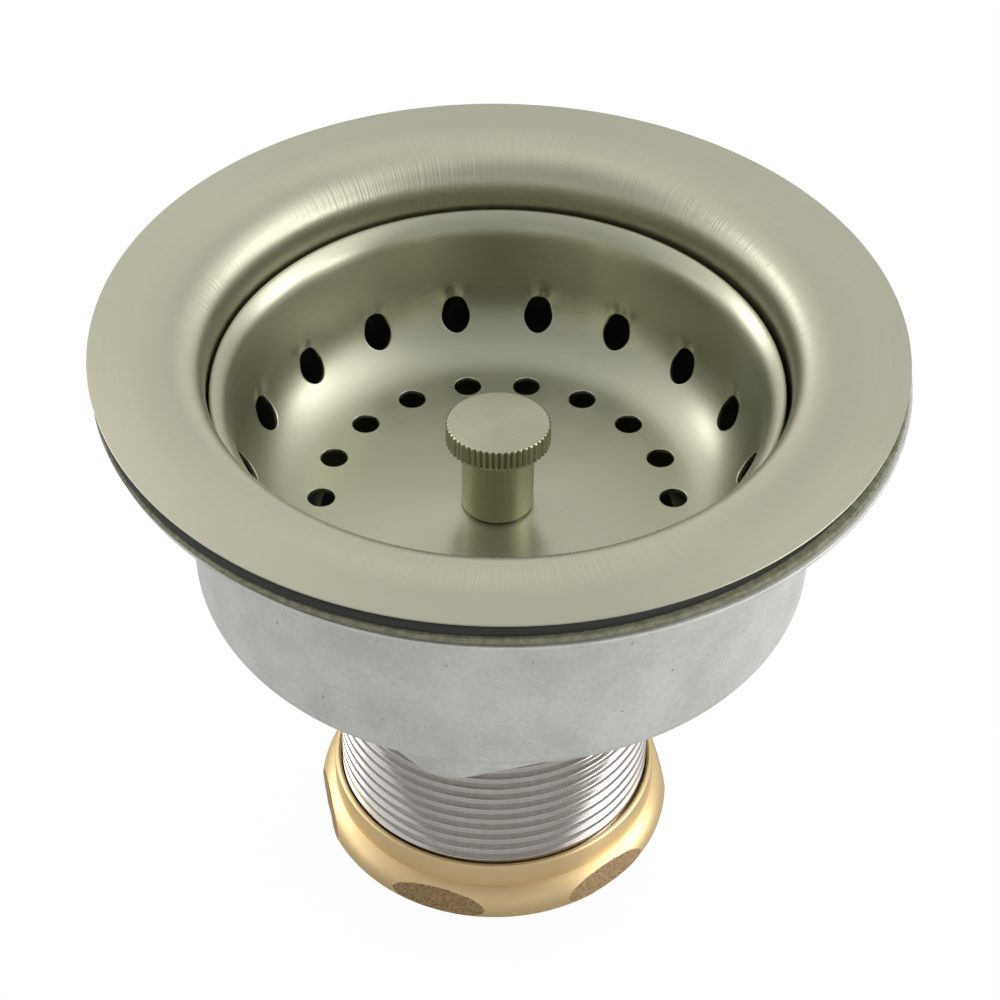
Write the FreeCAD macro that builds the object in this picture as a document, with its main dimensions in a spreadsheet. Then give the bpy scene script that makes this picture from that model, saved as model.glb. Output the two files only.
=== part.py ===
"""Basket strainer waste for a kitchen sink with a 3-1/2 in drain hole.

The origin is on the drain's axis at the seat plane, where the flange's underside meets the sink.
+Z points up out of the sink, and all lengths are millimetres.
"""
import FreeCAD, Part
import math
import os

import Sketcher

# Driving dimensions: alias, value, what it measures
DIMENSIONS = [
    # Stamped strainer body
    ("flange_r", 57.15, "outer radius of the 4-1/2 in flange"),
    ("sheet_wall", 0.9, "sheet thickness of the strainer body"),
    ("flange_edge", 0.3, "upright land at the flange's rim"),
    ("flange_bevel", 0.9, "width of the bevel under the flange's rim"),
    ("flange_width", 10.35, "width of the flange's flat between its rim and the shoulder"),
    ("shoulder_r", 5.6, "radius of the rounded shoulder between flange and throat"),
    ("bowl_depth", 35.0, "from the seat plane down to the inside of the bowl's bottom"),
    ("bowl_corner_r", 9.0, "inside radius between the bowl's wall and bottom"),
    ("drain_r", 20.8, "radius of the drain hole and of the tail's bore"),
    # Threaded tail
    ("tail_wall", 2.95, "wall of the 1-1/2 in threaded tail"),
    ("tail_length", 51.1, "length of the tail below the bowl"),
    ("tail_end_bevel", 0.8, "bevel at the tail's lower end"),
    ("tail_turn", -97.0, "turn of the tail about the axis, in degrees"),
    ("thread_pitch", 2.2087, "rise of one turn of the 11.5 to the inch thread"),
    ("thread_land", 0.95, "width of the thread's worn crest"),
    ("thread_depth", 1.0, "depth of the thread's groove"),
    ("thread_root", 0.12, "width of the groove's root"),
    ("thread_over", 0.15, "how far the thread's cutter reaches past the crest"),
    ("thread_plain", 2.5, "plain length of the tail above its thread"),
    # Crossbar in the tail
    ("cross_drop", 3.6, "from the tail's upper end down to the crossbar"),
    ("cross_depth", 4.0, "height of the crossbar"),
    ("cross_arm", 4.5, "width of one arm of the crossbar"),
    ("cross_count", 4, "arms of the crossbar"),
    ("hub_r", 8.2, "outer radius of the crossbar's hub"),
    # Rings between flange and cup
    ("gasket_set", 1.45, "how far the rubber gasket stays inside the flange's rim"),
    ("gasket_thick", 1.8, "thickness of the rubber gasket"),
    ("gasket_room", 0.3, "room between the gasket's bore and the shoulder"),
    ("gasket_shift", -0.4, "sideways place of the loose gasket"),
    ("washer_set", 0.15, "how far the fibre washer stays inside the flange's rim"),
    ("washer_room", 3.5, "room between the fibre washer's bore and the bowl"),
    ("washer_thick", 0.9, "thickness of the fibre washer"),
    ("washer_shift", 0.2, "sideways place of the loose fibre washer"),
    # Die-cast clamping cup
    ("cup_rim_set", 0.15, "how far the cup's rim stays inside the flange's rim"),
    ("cup_seat_set", 1.6, "how far the raised seat stays inside the cup's rim"),
    ("cup_seat_step", 0.5, "height of the raised seat above the rim's edge"),
    ("cup_rim_edge", 0.6, "upright land at the rim's edge"),
    ("cup_rim_thick", 2.2, "thickness of the rim at its root"),
    ("cup_room", 0.1, "least room between the cup's wall and the bowl"),
    ("cup_draft", 1.6, "how much wider the cup's wall is under the rim than at its foot"),
    ("cup_gap", 1.2, "room between the bowl's underside and the cup's floor"),
    ("cup_wall", 1.8, "thickness of the cup's wall"),
    ("cup_floor", 2.2, "thickness of the cup's floor"),
    ("cup_corner_r", 3.0, "outer radius at the cup's foot"),
    ("cup_play", 0.5, "room between the cup's hole and the tail"),
    ("cup_shift", 0.7, "sideways place of the loose cup"),
    # Die-cast lock nut
    ("lock_wall", 3.25, "wall of the lock nut at the middle of its flats"),
    ("lock_thick", 18.0, "thickness of the lock nut"),
    ("lock_corner_r", 7.2, "rounding of the lock nut's corners"),
    ("lock_turn", -14.2, "turn of the lock nut about the axis, in degrees"),
    ("thread_room", 0.2, "room between the tail and a nut's bore"),
    # Brass coupling nut and its washer
    ("nut_belly_wall", 3.15, "largest wall of the coupling nut at its rounded belly"),
    ("nut_belly_r", 3.7, "radius of the belly's rounded profile"),
    ("nut_belly_z", 2.5, "from the nut's foot up to the middle of the belly"),
    ("nut_collar_wall", 0.95, "wall of the nut's plain collar"),
    ("nut_height", 10.9, "height of the coupling nut"),
    ("nut_mouth", 0.6, "width of the bevel in the nut's mouth"),
    ("nut_lip", 2.5, "thickness of the nut's inward lip"),
    ("nut_flat_cut", 0.95, "depth of a forged flat in the coupling nut's belly"),
    ("nut_turn", 11.0, "turn of the coupling nut about the axis, in degrees"),
    ("tailpiece_r", 19.05, "outer radius of the 1-1/2 in tailpiece that the nut holds"),
    ("tailpiece_room", 0.35, "room between the nut's lip and that tailpiece"),
    ("seal_thick", 1.9, "thickness of the tailpiece washer"),
    ("seal_room", 0.3, "room round the tailpiece washer"),
    # Pierced basket
    ("basket_wall", 0.6, "sheet thickness of the basket"),
    ("basket_lift", 6.3, "from the bowl's bottom up to the basket's floor"),
    ("basket_room", 0.5, "room between the basket's lip and the throat"),
    ("basket_draft", 0.2, "how much wider the basket's wall is under the lip than at its foot"),
    ("basket_corner_r", 10.0, "inside radius between the basket's wall and floor"),
    ("lip_r", 1.6, "outer radius of the rolled lip"),
    ("lip_z", 8.3, "from the seat plane down to the middle of the rolled lip"),
    ("lip_skirt", 1.2, "height of the lip's turned-down edge"),
    ("hole_count", 18, "holes in each ring"),
    ("floor_hole_r", 1.98, "radius of a hole in the floor"),
    ("floor_ring_set", 11.7, "from the basket's wall in to the ring of floor holes"),
    ("side_hole_rise", 5.8, "from the basket's floor up to the wide end of a side hole"),
    ("side_hole_low_r", 2.1, "radius of a side hole's wide lower end"),
    ("side_hole_top_r", 1.35, "radius of a side hole's narrow upper end"),
    ("side_hole_span", 1.6, "between the centres of a side hole's two ends"),
    ("basket_turn", -0.95, "turn of the basket about the axis, in degrees"),
    # Knob and the parts below the basket's floor
    ("knob_r", 7.75, "radius of the knurled head"),
    ("knob_height", 14.1, "from the basket's floor up to the top of the knob"),
    ("knob_head", 3.4, "height of the knurled head"),
    ("knob_bevel", 0.6, "bevel round the top of the knob"),
    ("knob_crown", 0.25, "rise of the knob's crowned top"),
    ("knurl_count", 52, "grooves round the knurled head"),
    ("knurl_depth", 0.42, "depth of one groove"),
    ("knurl_width", 0.714, "width of one groove at the head's surface"),
    ("shank_r", 5.25, "radius of the knob's shank"),
    ("stud_r", 2.0, "radius of the stud through the basket"),
    ("stud_room", 0.1, "room round the stud"),
    ("stud_grip", 7.0, "length of the stud in the knob and in the post"),
    ("plate_r", 18.0, "radius of the backing plate"),
    ("plate_thick", 0.8, "thickness of the backing plate"),
    ("stopper_r", 26.0, "radius of the rubber stopper"),
    ("stopper_edge", 1.1, "height of the stopper's outer edge"),
    ("stopper_round", 0.9, "bevel under the stopper's edge"),
    ("seat_room", 0.3, "room between the stopper and its seat"),
    ("post_head_r", 9.0, "radius of the post's head"),
    ("post_head", 2.2, "thickness of the post's head"),
    ("post_r", 4.6, "radius of the catch post"),
    ("post_length", 11.6, "length of the post below its head"),
    ("post_bevel", 1.0, "bevel at the post's lower end"),
    ("catch_drop", 8.6, "from the post's head down to the catch ring"),
    ("catch_ring_r", 0.9, "radius of the catch ring's section"),
    ("catch_proud", 0.4, "how far the catch ring stands out of the post"),
    ("hub_room", 0.2, "room between the catch ring and the hub's hole"),
]

# Heights and radii that several pieces share
FLANGE_TOP = "dims.sheet_wall"
SHOULDER_R = "dims.flange_r - dims.flange_width"
THROAT_R = SHOULDER_R + " - dims.shoulder_r"
THROAT_OUT = THROAT_R + " + dims.sheet_wall"
TAIL_R = "dims.drain_r + dims.tail_wall"
SHOULDER_Z = "dims.sheet_wall - dims.shoulder_r"
BOWL_IN = "-dims.bowl_depth"
BOWL_OUT = "-dims.bowl_depth - dims.sheet_wall"
TAIL_END = "-dims.bowl_depth - dims.sheet_wall - dims.tail_length"
CUP_SEAT = "-dims.gasket_thick - dims.washer_thick"
CUP_RIM = "dims.flange_r - dims.cup_rim_set"
CUP_FOOT_IN = THROAT_OUT + " + abs(dims.cup_shift) + dims.cup_room"
CUP_FOOT_OUT = CUP_FOOT_IN + " + dims.cup_wall"
CUP_UNDER = BOWL_OUT + " - dims.cup_gap - dims.cup_floor"
NUT_FLOOR = TAIL_END + " - dims.seal_thick"
NUT_FOOT = NUT_FLOOR + " - dims.nut_lip"
NUT_TOP = NUT_FOOT + " + dims.nut_height"
NUT_BORE = TAIL_R + " + dims.thread_room"
NUT_R = NUT_BORE + " + dims.nut_belly_wall"
NUT_COLLAR = NUT_BORE + " + dims.nut_collar_wall"
LIP_HOLE = "dims.tailpiece_r + dims.tailpiece_room"
BASKET_TOP = THROAT_R + " - dims.basket_room - 2 * dims.lip_r"
BASKET_FOOT = BASKET_TOP + " - dims.basket_draft"
FLOOR_TOP = "-dims.bowl_depth + dims.basket_lift"
FLOOR_UNDER = FLOOR_TOP + " - dims.basket_wall"
PLATE_UNDER = FLOOR_UNDER + " - dims.plate_thick"
STOPPER_UNDER = "-dims.bowl_depth + dims.seat_room"
POST_HEAD_UNDER = STOPPER_UNDER + " - dims.post_head"
POST_END = POST_HEAD_UNDER + " - dims.post_length"
CATCH_Z = POST_HEAD_UNDER + " - dims.catch_drop"
CATCH_OUT = "dims.post_r + dims.catch_proud"
STUD_HOLE = "dims.stud_r + dims.stud_room"
STUD_TOP = FLOOR_TOP + " + dims.stud_grip"
KNOB_TOP = FLOOR_TOP + " + dims.knob_height"

doc = FreeCAD.newDocument("basket_strainer")
dims = doc.addObject("Spreadsheet::Sheet", "dims")
bodies = []


def fill_sheet():
    """Write the driving dimensions into the sheet, one alias to a row."""
    for row, (alias, value, meaning) in enumerate(DIMENSIONS, start=1):
        dims.set(f"A{row}", meaning)
        dims.set(f"B{row}", str(value))
        dims.setAlias(f"B{row}", alias)
    doc.recompute()


def size(expression):
    """Return the present value of an expression on the sheet."""
    return float(dims.evalExpression(expression))


def new_body(label):
    """Start one physical piece."""
    body = doc.addObject("PartDesign::Body", label)
    body.Label = label
    bodies.append(body)
    return body


def new_sketch(body, name, role, height=None):
    """Add a sketch on one of the body's own origin planes, raised to a height where one is given."""
    sketch = body.newObject("Sketcher::SketchObject", name)
    plane = next(item for item in body.Origin.OriginFeatures if item.Role == role)
    sketch.AttachmentSupport = [(plane, "")]
    sketch.MapMode = "FlatFace"
    if height is not None:
        sketch.setExpression("AttachmentOffset.Base.z", height)
    return sketch


def drive(sketch, kind, *place, expression):
    """Add a dimension to a sketch and bind it to the sheet."""
    index = sketch.addConstraint(Sketcher.Constraint(kind, *place, size(expression)))
    sketch.setExpression(f"Constraints[{index}]", expression)


def pin_point(sketch, edge, end, across, along):
    """Hold one end of an edge at its two coordinates."""
    for kind, axis, expression in (("DistanceX", -2, across), ("DistanceY", -1, along)):
        if expression == "0":
            sketch.addConstraint(Sketcher.Constraint("PointOnObject", edge, end, axis))
        else:
            drive(sketch, kind, -1, 1, edge, end, expression=expression)


def arc_between(start, finish, radius, turn):
    """Return the arc from start to finish, turning left (+1) or right (-1) along its way."""
    chord = finish - start
    middle = start + chord * 0.5
    rise = math.sqrt(max(radius ** 2 - (chord.Length / 2) ** 2, 0.0))
    side = FreeCAD.Vector(-chord.y, chord.x, 0).normalize()
    centre = middle + side * rise * turn
    angles = [math.atan2(point.y - centre.y, point.x - centre.x) for point in (start, finish)]
    if turn < 0:
        angles.reverse()
    return Part.ArcOfCircle(Part.Circle(centre, FreeCAD.Vector(0, 0, 1), radius), *angles)


def draw_outline(sketch, corners):
    """Draw a closed outline and hold every corner by dimensions.

    A corner is (across, along), or (across, along, radius, turn) where an arc leads on from it.
    """
    points = [FreeCAD.Vector(size(corner[0]), size(corner[1]), 0) for corner in corners]
    ends = []
    for number, corner in enumerate(corners):
        start = points[number]
        finish = points[(number + 1) % len(points)]
        if len(corner) == 4:
            edge = sketch.addGeometry(arc_between(start, finish, size(corner[2]), corner[3]), False)
            ends.append((edge, 1, 2) if corner[3] > 0 else (edge, 2, 1))
        else:
            edge = sketch.addGeometry(Part.LineSegment(start, finish), False)
            ends.append((edge, 1, 2))
    for number, corner in enumerate(corners):
        edge, first, last = ends[number]
        follower, follower_first, _ = ends[(number + 1) % len(ends)]
        sketch.addConstraint(Sketcher.Constraint("Coincident", edge, last, follower, follower_first))
        pin_point(sketch, edge, first, corner[0], corner[1])
        if len(corner) == 4:
            drive(sketch, "Radius", edge, expression=corner[2])


def draw_circle(sketch, radius, across="0", along="0"):
    """Draw a circle and hold its centre and radius by dimensions."""
    centre = FreeCAD.Vector(size(across), size(along), 0)
    circle = Part.Circle(centre, FreeCAD.Vector(0, 0, 1), size(radius))
    edge = sketch.addGeometry(circle, False)
    pin_point(sketch, edge, 3, across, along)
    drive(sketch, "Radius", edge, expression=radius)


def hexagon(flats):
    """Return the corners of a hexagon whose first flat faces the sketch's first axis."""
    reach = f"({flats}) / 2 / cos(30 deg)"
    turns = [30 + 60 * step for step in range(6)]
    corners = []
    for turn in turns:
        across = "0" if turn % 180 == 90 else f"{reach} * cos({turn} deg)"
        corners.append((across, f"{reach} * sin({turn} deg)"))
    return corners


def revolve(body, name, corners):
    """Turn an outline of (radius, height) corners round the axis."""
    sketch = new_sketch(body, name + "_outline", "XZ_Plane")
    draw_outline(sketch, corners)
    turned = body.newObject("PartDesign::Revolution", name)
    turned.Profile = sketch
    turned.ReferenceAxis = (sketch, ["V_Axis"])
    turned.Angle = 360
    doc.recompute()
    return turned


def pad(body, name, sketch, length):
    """Raise a sketch upwards to a solid."""
    raised = body.newObject("PartDesign::Pad", name)
    raised.Profile = sketch
    raised.setExpression("Length", length)
    doc.recompute()
    return raised


def cut_through(body, name, sketch, outwards=False):
    """Cut a sketch through all material on one side of its plane."""
    before = body.Shape.Volume
    pocket = body.newObject("PartDesign::Pocket", name)
    pocket.Profile = sketch
    pocket.Type = "ThroughAll"
    pocket.Reversed = outwards
    doc.recompute()
    if not body.Shape.Volume < before:
        raise RuntimeError(f"{name} cuts nothing")
    return pocket


def repeat(body, name, features, count):
    """Repeat features evenly round the axis."""
    pattern = body.newObject("PartDesign::PolarPattern", name)
    pattern.Originals = features
    axis = next(item for item in body.Origin.OriginFeatures if item.Role == "Z_Axis")
    pattern.Axis = (axis, [""])
    pattern.Angle = 360
    pattern.setExpression("Occurrences", count)
    body.Tip = pattern
    doc.recompute()
    return pattern


def round_upright_edges(body, name, feature, radius):
    """Round the upright corner edges of a straight-sided piece."""
    upright = []
    for number, edge in enumerate(feature.Shape.Edges, start=1):
        straight = isinstance(edge.Curve, Part.Line)
        if straight and abs(edge.tangentAt(edge.FirstParameter).z) > 0.99:
            upright.append(f"Edge{number}")
    fillet = body.newObject("PartDesign::Fillet", name)
    fillet.Base = (feature, upright)
    fillet.setExpression("Radius", radius)
    doc.recompute()


def make_ring(label, bore, radius, top, under):
    """Make a flat ring between two heights."""
    body = new_body(label)
    revolve(body, label + "_turned", [(bore, under), (radius, under), (radius, top), (bore, top)])
    return body


def shift(body, expression):
    """Set a loose piece sideways within its play."""
    body.setExpression("Placement.Base.x", expression)


def turn(body, expression):
    """Turn a piece about the axis."""
    body.setExpression("Placement.Rotation.Angle", expression)


def make_strainer_body():
    """Stamped flange, rounded shoulder and bowl in one sheet."""
    under_shoulder = "dims.shoulder_r - dims.sheet_wall"
    corner_centre_r = THROAT_R + " - dims.bowl_corner_r"
    corner_top = "-dims.bowl_depth + dims.bowl_corner_r"
    outer_corner = "dims.bowl_corner_r + dims.sheet_wall"
    body = new_body("strainer_body")
    revolve(body, "bowl_turned", [
        ("dims.drain_r", BOWL_IN),
        ("dims.drain_r", BOWL_OUT),
        (corner_centre_r, BOWL_OUT, outer_corner, 1),
        (THROAT_OUT, corner_top),
        (THROAT_OUT, SHOULDER_Z, under_shoulder, -1),
        (SHOULDER_R, "0"),
        ("dims.flange_r - dims.flange_bevel", "0"),
        ("dims.flange_r", "dims.sheet_wall - dims.flange_edge"),
        ("dims.flange_r", FLANGE_TOP),
        (SHOULDER_R, FLANGE_TOP, "dims.shoulder_r", 1),
        (THROAT_R, SHOULDER_Z),
        (THROAT_R, corner_top, "dims.bowl_corner_r", -1),
        (corner_centre_r, BOWL_IN),
    ])


def cut_thread(body):
    """Cut the tail's right-hand thread as one groove that winds up from below its end."""
    start = TAIL_END + " - dims.thread_pitch"
    half_root = "dims.thread_root / 2"
    half_mouth = "(dims.thread_pitch - dims.thread_land) / 2"
    widening = f"({half_mouth} - {half_root}) / dims.thread_depth"
    half_over = f"({half_mouth} + {widening} * dims.thread_over)"
    root_r = TAIL_R + " - dims.thread_depth"
    over_r = TAIL_R + " + dims.thread_over"
    sketch = new_sketch(body, "thread_outline", "XZ_Plane")
    draw_outline(sketch, [
        (root_r, f"{start} - {half_root}"),
        (over_r, f"{start} - {half_over}"),
        (over_r, f"{start} + {half_over}"),
        (root_r, f"{start} + {half_root}"),
    ])
    before = body.Shape.Volume
    thread = body.newObject("PartDesign::SubtractiveHelix", "thread")
    thread.Profile = sketch
    thread.ReferenceAxis = (sketch, ["V_Axis"])
    thread.Mode = "pitch-height-angle"
    thread.setExpression("Pitch", "dims.thread_pitch")
    thread.setExpression("Height", "dims.tail_length + dims.thread_pitch - dims.thread_plain")
    doc.recompute()
    if not body.Shape.Volume < before:
        raise RuntimeError("the thread cuts nothing")


def make_threaded_tailpiece():
    """Threaded tail brazed under the bowl."""
    body = new_body("threaded_tailpiece")
    revolve(body, "tail_turned", [
        ("dims.drain_r", TAIL_END),
        (TAIL_R + " - dims.tail_end_bevel", TAIL_END),
        (TAIL_R, TAIL_END + " + dims.tail_end_bevel"),
        (TAIL_R, BOWL_OUT),
        ("dims.drain_r", BOWL_OUT),
    ])
    cut_thread(body)
    turn(body, "dims.tail_turn")


def make_crossbar():
    """Cross across the tail's bore, with the hub that guides the basket's post."""
    cross_under = BOWL_OUT + " - dims.cross_drop - dims.cross_depth"
    half_arm = "dims.cross_arm / 2"
    arm_start = "dims.hub_r - " + half_arm
    arm_finish = f"sqrt(dims.drain_r ^ 2 - ({half_arm}) ^ 2)"
    body = new_body("crossbar")
    arm_sketch = new_sketch(body, "arm_outline", "XY_Plane", cross_under)
    draw_outline(arm_sketch, [
        (arm_start, "-" + half_arm),
        (arm_finish, "-" + half_arm),
        (arm_finish, half_arm),
        (arm_start, half_arm),
    ])
    hub_sketch = new_sketch(body, "hub_outline", "XY_Plane", cross_under)
    draw_circle(hub_sketch, "dims.hub_r")
    pad(body, "hub", hub_sketch, "dims.cross_depth")
    arm = pad(body, "arm", arm_sketch, "dims.cross_depth")
    repeat(body, "arms", [arm], "dims.cross_count")
    hole_sketch = new_sketch(body, "hub_hole_outline", "XY_Plane")
    draw_circle(hole_sketch, CATCH_OUT + " + dims.hub_room")
    cut_through(body, "hub_hole", hole_sketch)


def make_rings():
    """Rubber gasket and fibre washer between the flange and the cup."""
    gasket_bore = SHOULDER_R + " + dims.gasket_room + abs(dims.gasket_shift)"
    gasket_under = "-dims.gasket_thick"
    gasket_out = "dims.flange_r - dims.gasket_set"
    gasket = make_ring("rubber_gasket", gasket_bore, gasket_out, "0", gasket_under)
    shift(gasket, "dims.gasket_shift")
    washer_bore = THROAT_OUT + " + dims.washer_room"
    washer_out = "dims.flange_r - dims.washer_set"
    washer = make_ring("fibre_washer", washer_bore, washer_out, gasket_under, CUP_SEAT)
    shift(washer, "dims.washer_shift")


def make_clamp_cup():
    """Deep cup that the lock nut draws up against the sink's underside."""
    rim_edge_top = CUP_SEAT + " - dims.cup_seat_step"
    rim_under = CUP_SEAT + " - dims.cup_rim_thick"
    floor_top = CUP_UNDER + " + dims.cup_floor"
    foot_z = CUP_UNDER + " + dims.cup_corner_r"
    foot_r = CUP_FOOT_OUT + " - dims.cup_corner_r"
    seat_r = CUP_RIM + " - dims.cup_seat_set"
    hole = TAIL_R + " + abs(dims.cup_shift) + dims.cup_play"
    body = new_body("clamp_cup")
    revolve(body, "cup_turned", [
        (hole, CUP_UNDER),
        (foot_r, CUP_UNDER, "dims.cup_corner_r", 1),
        (CUP_FOOT_OUT, foot_z),
        (CUP_FOOT_OUT + " + dims.cup_draft", rim_under),
        (CUP_RIM, rim_edge_top + " - dims.cup_rim_edge"),
        (CUP_RIM, rim_edge_top),
        (seat_r, rim_edge_top),
        (seat_r, CUP_SEAT),
        (CUP_FOOT_IN + " + dims.cup_draft", CUP_SEAT),
        (CUP_FOOT_IN, floor_top),
        (hole, floor_top),
    ])
    shift(body, "dims.cup_shift")


def make_lock_nut():
    """Cast hexagon nut under the cup."""
    body = new_body("lock_nut")
    sketch = new_sketch(body, "lock_outline", "XY_Plane", CUP_UNDER + " - dims.lock_thick")
    draw_outline(sketch, hexagon(f"2 * ({NUT_BORE} + dims.lock_wall)"))
    draw_circle(sketch, NUT_BORE)
    hexagonal = pad(body, "lock_pad", sketch, "dims.lock_thick")
    round_upright_edges(body, "lock_corners", hexagonal, "dims.lock_corner_r")
    turn(body, "dims.lock_turn")


def make_coupling_nut():
    """Brass nut turned from a hexagon forging, so that its flats are left as shallow patches."""
    belly_centre_r = NUT_R + " - dims.nut_belly_r"
    foot_r = belly_centre_r + " + sqrt(dims.nut_belly_r ^ 2 - dims.nut_belly_z ^ 2)"
    collar_over = f"{NUT_COLLAR} - ({belly_centre_r})"
    belly_top = f"{NUT_FOOT} + dims.nut_belly_z + sqrt(dims.nut_belly_r ^ 2 - ({collar_over}) ^ 2)"
    flats = f"2 * ({NUT_R} - dims.nut_flat_cut)"
    body = new_body("coupling_nut")
    revolve(body, "nut_turned", [
        (LIP_HOLE, NUT_FOOT),
        (foot_r, NUT_FOOT, "dims.nut_belly_r", 1),
        (NUT_COLLAR, belly_top),
        (NUT_COLLAR, NUT_TOP),
        (NUT_BORE + " + dims.nut_mouth", NUT_TOP),
        (NUT_BORE, NUT_TOP + " - dims.nut_mouth"),
        (NUT_BORE, NUT_FLOOR),
        (LIP_HOLE, NUT_FLOOR),
    ])
    sketch = new_sketch(body, "flats_outline", "XY_Plane")
    draw_outline(sketch, hexagon(flats))
    draw_circle(sketch, flats)
    cut_through(body, "forged_flats", sketch)
    turn(body, "dims.nut_turn")


def make_tailpiece_washer():
    """Flat washer that seals a tailpiece against the tail's end."""
    bore = LIP_HOLE + " + dims.seal_room"
    radius = NUT_BORE + " - dims.seal_room"
    make_ring("tailpiece_washer", bore, radius, TAIL_END, NUT_FLOOR)


def make_basket_shell():
    """Drawn basket with a rolled lip, a ring of round holes and a ring of egg-shaped ones."""
    floor_r = BASKET_FOOT + " - dims.basket_corner_r"
    corner_top = FLOOR_TOP + " + dims.basket_corner_r"
    outer_corner = "dims.basket_corner_r + dims.basket_wall"
    lip_centre_r = BASKET_TOP + " + dims.lip_r"
    lip_z = "-dims.lip_z"
    inner_lip = "dims.lip_r - dims.basket_wall"
    skirt_under = "-dims.lip_z - dims.lip_skirt"
    skirt_out = THROAT_R + " - dims.basket_room"
    body = new_body("basket_shell")
    revolve(body, "basket_turned", [
        (STUD_HOLE, FLOOR_UNDER),
        (floor_r, FLOOR_UNDER, outer_corner, 1),
        (BASKET_FOOT + " + dims.basket_wall", corner_top),
        (BASKET_TOP + " + dims.basket_wall", lip_z, inner_lip, -1),
        (lip_centre_r, "-dims.lip_z + dims.lip_r - dims.basket_wall", inner_lip, -1),
        (skirt_out + " - dims.basket_wall", lip_z),
        (skirt_out + " - dims.basket_wall", skirt_under),
        (skirt_out, skirt_under),
        (skirt_out, lip_z, "dims.lip_r", 1),
        (lip_centre_r, "-dims.lip_z + dims.lip_r", "dims.lip_r", 1),
        (BASKET_TOP, lip_z),
        (BASKET_FOOT, corner_top, "dims.basket_corner_r", -1),
        (floor_r, FLOOR_TOP),
        (STUD_HOLE, FLOOR_TOP),
    ])
    floor_sketch = new_sketch(body, "floor_hole_outline", "XY_Plane")
    draw_circle(floor_sketch, "dims.floor_hole_r", across=BASKET_FOOT + " - dims.floor_ring_set")
    floor_hole = cut_through(body, "floor_hole", floor_sketch)
    low_z = FLOOR_TOP + " + dims.side_hole_rise"
    top_z = low_z + " + dims.side_hole_span"
    lean = "(dims.side_hole_low_r - dims.side_hole_top_r) / dims.side_hole_span"
    level = f"sqrt(1 - ({lean}) ^ 2)"
    low_across = f"dims.side_hole_low_r * {level}"
    low_along = f"{low_z} + dims.side_hole_low_r * {lean}"
    top_across = f"dims.side_hole_top_r * {level}"
    top_along = f"{top_z} + dims.side_hole_top_r * {lean}"
    side_sketch = new_sketch(body, "side_hole_outline", "YZ_Plane")
    draw_outline(side_sketch, [
        (low_across, low_along),
        (top_across, top_along, "dims.side_hole_top_r", 1),
        ("0", top_z + " + dims.side_hole_top_r", "dims.side_hole_top_r", 1),
        ("-" + top_across, top_along),
        ("-" + low_across, low_along, "dims.side_hole_low_r", 1),
        ("0", low_z + " - dims.side_hole_low_r", "dims.side_hole_low_r", 1),
    ])
    side_hole = cut_through(body, "side_hole", side_sketch, outwards=True)
    repeat(body, "holes", [floor_hole, side_hole], "dims.hole_count")
    turn(body, "dims.basket_turn")


def make_knob():
    """Turned knob with a straight-knurled head, drilled for the stud."""
    face_z = KNOB_TOP + " - dims.knob_crown"
    bevel_z = face_z + " - dims.knob_bevel"
    under_head = KNOB_TOP + " - dims.knob_head"
    face_r = "dims.knob_r - dims.knob_bevel"
    crown_r = f"(({face_r}) ^ 2 + dims.knob_crown ^ 2) / (2 * dims.knob_crown)"
    body = new_body("knob")
    revolve(body, "knob_turned", [
        (STUD_HOLE, FLOOR_TOP),
        ("dims.shank_r", FLOOR_TOP),
        ("dims.shank_r", under_head),
        ("dims.knob_r", under_head),
        ("dims.knob_r", bevel_z),
        (face_r, face_z, crown_r, 1),
        ("0", KNOB_TOP),
        ("0", STUD_TOP),
        (STUD_HOLE, STUD_TOP),
    ])
    sketch = new_sketch(body, "knurl_outline", "XY_Plane")
    draw_outline(sketch, [
        ("dims.knob_r - dims.knurl_depth", "0"),
        ("dims.knob_r + dims.knurl_depth", "-dims.knurl_width"),
        ("dims.knob_r + dims.knurl_depth", "dims.knurl_width"),
    ])
    groove = cut_through(body, "knurl_groove", sketch)
    repeat(body, "knurl", [groove], "dims.knurl_count")


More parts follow.
